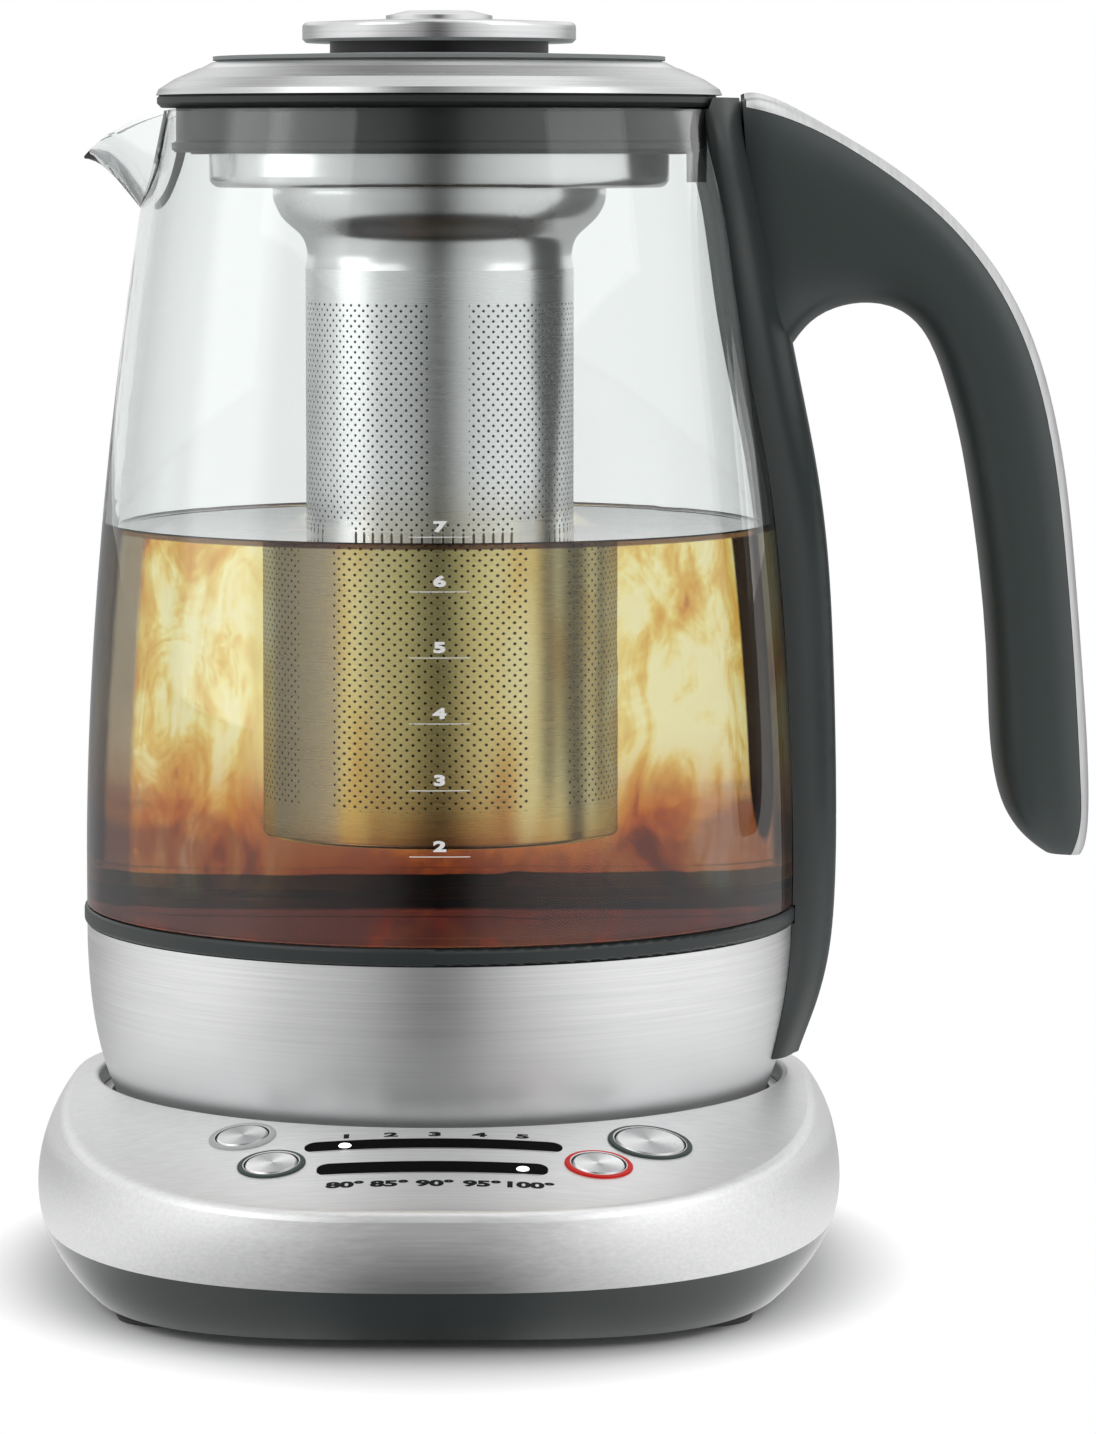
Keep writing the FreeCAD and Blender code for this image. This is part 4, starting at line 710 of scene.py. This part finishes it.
def make_panel_numbers(material):
    """The numbers beside the two windows: minutes above and degrees below."""
    ink = 0.03 * MM
    minutes_y, degrees_y = TIME_ROW + 3.9 * MM, HEAT_ROW - 6.9 * MM
    minutes, degrees = (2.3 * MM, 2.05), (3.2 * MM, 1.48)
    minute_words = ("1", -15.5), ("2", -7.6), ("3", 0.2), ("4", 8.1), ("5", 15.7)
    degree_words = ("80°", -15.0), ("85°", -7.3), ("90°", 0.6), ("95°", 8.8), ("100°", 16.9)
    rows = (minutes, minutes_y, minute_words), (degrees, degrees_y, degree_words)
    numbers = [text_mesh(word, *form, x * MM, y, ink) for form, y, words in rows for word, x in words]
    for number in numbers:
        lay_on_panel(number)
    return finished(join(numbers), "panel_numbers", "base", material)


def make_level_marks(material):
    """White level numbers on the front of the glass, each over its line."""
    centre, half_line, thick, ink = 1.1 * MM, 5.4 * MM, 0.14 * MM, 0.04 * MM
    digit_size, digit_stretch, digit_rise = 2.5 * MM, 1.75, 1.75 * MM
    levels = ((2, 18.5), (3, 30.2), (4, 42.0), (5, 53.6), (6, 65.2), (7, 74.8))
    marks = []
    for number, rise in levels:
        height = GLASS_FOOT + rise * MM
        digit = text_mesh(str(number), digit_size, digit_stretch, centre, height + digit_rise, ink / 2)
        line = start(bpy.ops.mesh.primitive_cube_add, size=1, location=(centre, height, 0))
        line.scale = (2 * half_line, thick, ink)
        bpy.ops.object.transform_apply(location=True, scale=True)
        bpy.ops.object.mode_set(mode="EDIT")
        bpy.ops.mesh.subdivide(number_cuts=9)
        bpy.ops.object.mode_set(mode="OBJECT")
        marks += [digit, line]
    for mark in marks:
        lay_on_glass(mark)
    return finished(join(marks), "level_marks", "jug", material)


def make_lens(name, x, y, material):
    """A small domed lens set in a window."""
    radius, dome, sink = 1.15 * MM, 0.42, 0.05 * MM
    lens = start(
        bpy.ops.mesh.primitive_uv_sphere_add, segments=24, ring_count=12, radius=radius,
        location=(x, y, panel_height(x, y) - sink),
    )
    lens.scale = (1.0, 1.0, dome)
    return finished(lens, name, "base", material, smooth_angle=60)


# ---------------------------------------------------------------- dress the solids


def dress(material, *names):
    """Give CAD nodes their finish."""
    for name in names:
        for slot in nodes[name].material_slots:
            slot.material = material


def dress_steel():
    """The nodes of steel, and the other bare metals."""
    base = brushed_steel("steel_base", grey(0.95, -0.006), 0.42, FLAT_STREAKS, satin=PANEL_SATIN)
    # the band's colour is painted darker towards its foot: a painted shade
    band = brushed_steel("steel_band", grey(0.93, -0.006), 0.34, ROUND_STREAKS, shade=BAND_SHADE)
    dress(base, "base_cover")
    dress(band, "steel_band")
    dress(brushed_steel("steel_lid", grey(0.65, -0.004), 0.26, ROUND_STREAKS), "lid_ring")
    dress(brushed_steel("steel_knob", grey(0.80, -0.004), 0.22, ROUND_STREAKS), "cap_knob", "cap_dome")
    dress(brushed_steel("steel_trim", grey(0.66, -0.004), 0.36, TRIM_STREAKS), "handle_trim")
    dress(polished_steel("steel_basket", grey(0.86), 0.26), "basket_funnel", "basket_floor")
    dress(polished_steel("polished_steel", grey(0.84), 0.20), "basket_dish", "heater_plate")
    dress(polished_steel("screw_steel", grey(0.58), 0.35), "base_screws", "cap_stud")
    dress(polished_steel("element_metal", grey(0.55, 0.01), 0.4), "heating_element")
    dress(polished_steel("contact_metal", rgb(0.78, 0.62, 0.30), 0.25), "dock_pin", "temperature_sensor")
    dress(perforated_steel("perforated_steel"), "basket_tube")


def dress_the_rest():
    """The nodes of plastic, rubber and glass, and the boards."""
    dress(moulded("skirt_plastic", rgb(0.026, 0.032, 0.032), 0.32, coat=0.8), "base_skirt")
    dress(moulded("grey_plastic", rgb(0.022, 0.028, 0.028), 0.38), "collar_ring")
    dress(well_lining("well_lining"), "base_well")
    dress(handle_plastic("handle_plastic"), "handle")
    dress(
        moulded("dark_plastic", rgb(0.020, 0.023, 0.023), 0.40),
        "base_plate", "dock_connector", "cord_inlet", "thermostat", "jug_bottom",
        "jug_socket", "rim_clip", "lid_inner",
    )
    dress(moulded("cap_plastic", rgb(0.23, 0.25, 0.25), 0.40), "cap_disc")
    dress(moulded("black_plastic", rgb(0.012, 0.012, 0.012), 0.35), "cap_neck")
    for name in ("time_window", "heat_window"):
        dress(window_black(name + "_black", -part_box(name)[0].y), name)
    dress(circuit_board("board"), "control_board", "power_board")
    dress(rubber("silicone", rgb(0.020, 0.024, 0.024), 0.45), "lid_seal", "glass_gasket")
    feet = [name for name in nodes if name.startswith("foot_")]
    dress(rubber("rubber_foot", grey(0.02), 0.75), *feet)
    switches = [name for name in nodes if name.startswith("switch_")]
    dress(moulded("switch_plastic", rgb(0.02, 0.02, 0.022), 0.55), *switches)
    dress(clear_glass("glass"), "jug_glass")


def dress_buttons():
    """Each button's face and the ring round it."""
    for name in nodes:
        if name.startswith("button_"):
            dress(spun_steel("spun_" + name, tuple(middle(name))), name)
    green, silver, red = rgb(0.045, 0.065, 0.058), rgb(0.46, 0.47, 0.47), rgb(0.62, 0.012, 0.008)
    tones = {"temperature": green, "brew_time": silver, "start_timer": green, "start_stop": red}
    for word, tone in tones.items():
        low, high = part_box("ring_" + word)
        centre, edge = tuple((low + high) / 2), (high.x - low.x) / 2
        dress(button_ring("ring_" + word, tone, centre, edge), "ring_" + word)


# ---------------------------------------------------------------- floor, light and camera


def light_path(finish, output):
    """One of the outputs of the Light Path node, by its name."""
    return finish.node("LightPath", None, None, output)


def seen_straight(finish):
    """1 for what the camera sees through clear things alone, with no reflection on the way."""
    bounces = light_path(finish, "Diffuse Depth") + light_path(finish, "Glossy Depth")
    return light_path(finish, "Is Transmission Ray") * (1.0 - finish.clamp(bounces))


def backdrop(finish, x, y):
    """What is seen through glass and tea: a white board behind, dark past its edges, and the
    room's pale walls past that. The edges are turns away from straight back, in degrees."""
    board_edge, dark_edge = (43, 39), (74, 64)
    ahead = y / finish.length(x, y)
    board = finish.step(ahead, *(math.cos(math.radians(turn)) for turn in board_edge))
    dark = finish.step(ahead, *(math.cos(math.radians(turn)) for turn in dark_edge))
    return finish.mix(board, finish.mix(dark, grey(0.72), grey(0.09)), grey(1.0))


def studio_ring(finish, x, y):
    """How bright the studio is all round: the levels are for turns from the front, in degrees,
    with the left side first."""
    turn = finish.math("ARCTAN2", x, y * -1.0) / math.tau + 0.5
    levels = (
        (-180, 0.42), (-135, 0.45), (-108, 0.85), (-86, 1.0), (-62, 0.98), (-45, 0.66), (-25, 0.54),
        (-14, 0.36), (-7, 0.14), (0, 0.08), (7, 0.15), (14, 0.45), (30, 0.76), (54, 1.0), (95, 1.0),
        (115, 0.85), (138, 0.45), (180, 0.42),
    )
    return finish.ramp(turn, [(0.5 + angle / 360, (level, level, level)) for angle, level in levels])


def make_floor():
    """A plain pale floor that keeps the shadow in an oval round the base, and runs out into
    white. In reflections its far part is the studio."""
    oval_wide, oval_deep, oval_forward = 75.0 * MM, 106.0 * MM, 13.0 * MM
    paper_to, studio_from, paper_lift = 0.12, 0.26, 0.22
    floor = start(bpy.ops.mesh.primitive_plane_add, size=12, location=(0, 0, 0))
    floor.name = "floor"
    finish = Finish("floor")
    x, y, _ = finish.point()
    distance = finish.length(x, y)
    away = finish.length(x / oval_wide, (y + oval_forward) / oval_deep)
    straight = finish.clamp(light_path(finish, "Is Camera Ray") + seen_straight(finish))
    shade_lift = finish.step(away, 0.85, 1.30) * 0.5
    strength = paper_lift + straight * (shade_lift - paper_lift)
    paper = finish.node("BsdfDiffuse", None, {"Color": grey(0.90)})
    lift = finish.node("Emission", None, {"Color": grey(1.0), "Strength": strength})
    lit = finish.node("AddShader", None, {0: paper, 1: lift})
    studio = finish.node("Emission", None, {"Color": studio_ring(finish, x, y), "Strength": 0.9})
    beyond = finish.mix(light_path(finish, "Is Camera Ray"), backdrop(finish, x, y), grey(1.0))
    white = finish.node("Emission", None, {"Color": beyond, "Strength": 1.0})
    far = finish.mix_shader(straight, studio, white)
    mirrored = finish.clamp(light_path(finish, "Is Glossy Ray") - straight)
    runs_out = finish.step(distance, paper_to, studio_from)
    seen_out = finish.step(away, 1.15, 1.6)
    part = runs_out + straight * (seen_out - runs_out) + mirrored
    shader = finish.mix_shader(finish.clamp(part), lit, far)
    finish.node("OutputMaterial", None, {"Surface": shader})
    floor.data.materials.append(finish.material)


def between(finish, turn, low, high):
    """1 where a turn lies between two angles in degrees, with soft edges."""
    soft = 5
    rise = finish.step(turn, math.radians(low - soft), math.radians(low + soft))
    return rise - finish.step(turn, math.radians(high - soft), math.radians(high + soft))


def make_world():
    """A pale studio all round, bright at the sides, with a dark gap in front and a dark stripe
    overhead. Sharp reflections see two bright boxes instead, and what is seen through glass and
    tea is the backdrop, whose dark edges draw theirs. The camera itself sees white."""
    left_box, right_box = (-94, -63), (118, 130)
    stripe_left, stripe_level, stripe_rise = 0.08, 0.10, 1.8
    world = bpy.data.worlds.new("studio")
    bpy.context.scene.world = world
    world.use_nodes = True
    finish = Finish("studio", world.node_tree)
    x, y, z = finish.axes(finish.node("TexCoord", None, None, 0))
    above = finish.clamp(stripe_level + finish.math("ABSOLUTE", x + stripe_left) * stripe_rise)
    top = finish.mix(above, grey(0.0), grey(1.0))
    upper_back = finish.step(z, 0.10, 0.28) * finish.step(y, 0.2, 0.6)
    ring = finish.mix(upper_back, studio_ring(finish, x, y), grey(0.95))
    studio = finish.mix(finish.step(z, 0.42, 0.70), ring, top)
    turn = finish.math("ARCTAN2", x, y * -1.0)
    boxes = finish.clamp(between(finish, turn, *left_box) + between(finish, turn, *right_box))
    bright_back = finish.mix(finish.step(y, 0.6, 0.85), studio_ring(finish, x, y), grey(0.95))
    window = finish.mix(boxes * finish.step(z, -0.3, -0.1), bright_back, grey(2.2))
    sharp = light_path(finish, "Is Singular Ray") * light_path(finish, "Is Glossy Ray")
    mirrored = finish.mix(sharp, studio, window)
    around = finish.mix(seen_straight(finish), mirrored, backdrop(finish, x, y))
    colour = finish.mix(light_path(finish, "Is Camera Ray"), around, grey(1.0))
    background = finish.node("Background", None, {"Color": colour, "Strength": 1.0})
    finish.node("OutputWorld", None, {"Surface": background})


def make_lamp(name, place, aim, size, power):
    """A soft square lamp that looks at a point."""
    lamp = start(bpy.ops.object.light_add, type="AREA", location=place)
    lamp.name = name
    lamp.data.shape = "SQUARE"
    lamp.data.size = size
    lamp.data.energy = power
    lamp.rotation_euler = (Vector(aim) - Vector(place)).to_track_quat("-Z", "Y").to_euler()


def make_camera():
    """The camera: in front, a little to the right, near the height of the glass's rim and tipped
    down."""
    right, forward, above_foot, down = 20.2 * MM, 1038.6 * MM, 142.6 * MM, 5.83
    camera = start(bpy.ops.object.camera_add, location=(right, -forward, GLASS_FOOT + above_foot))
    camera.rotation_euler = (math.radians(90.0 - down), 0.0, 0.0)
    camera.data.sensor_width = 36.0
    camera.data.lens = 139.4
    camera.data.clip_end = 50.0
    bpy.context.scene.camera = camera


# ---------------------------------------------------------------- the scene

dress_steel()
dress_the_rest()
dress_buttons()
make_tea(brewed_tea("tea"))
make_panel_numbers(printed("dark_ink", rgb(0.008, 0.009, 0.010)))
make_level_marks(printed("white_ink", rgb(0.92, 0.92, 0.90)))
lamp_light = lit_lens("lamp_light", rgb(1.0, 1.0, 0.97))
make_lens("time_lamp", -15.6 * MM, TIME_ROW, lamp_light)
make_lens("heat_lamp", 15.8 * MM, HEAT_ROW, lamp_light)

make_floor()
make_world()
make_lamp("left_lamp", (-0.9, -0.7, 0.9), aim=(0, 0, 0.12), size=0.9, power=2.2)
make_lamp("right_lamp", (1.0, -0.5, 0.8), aim=(0, 0, 0.12), size=0.8, power=1.6)
make_lamp("top_lamp", (0.0, 0.2, 1.3), aim=(0, 0, 0.1), size=1.0, power=2.4)
make_camera()
bpy.context.scene.view_settings.view_transform = "Standard"
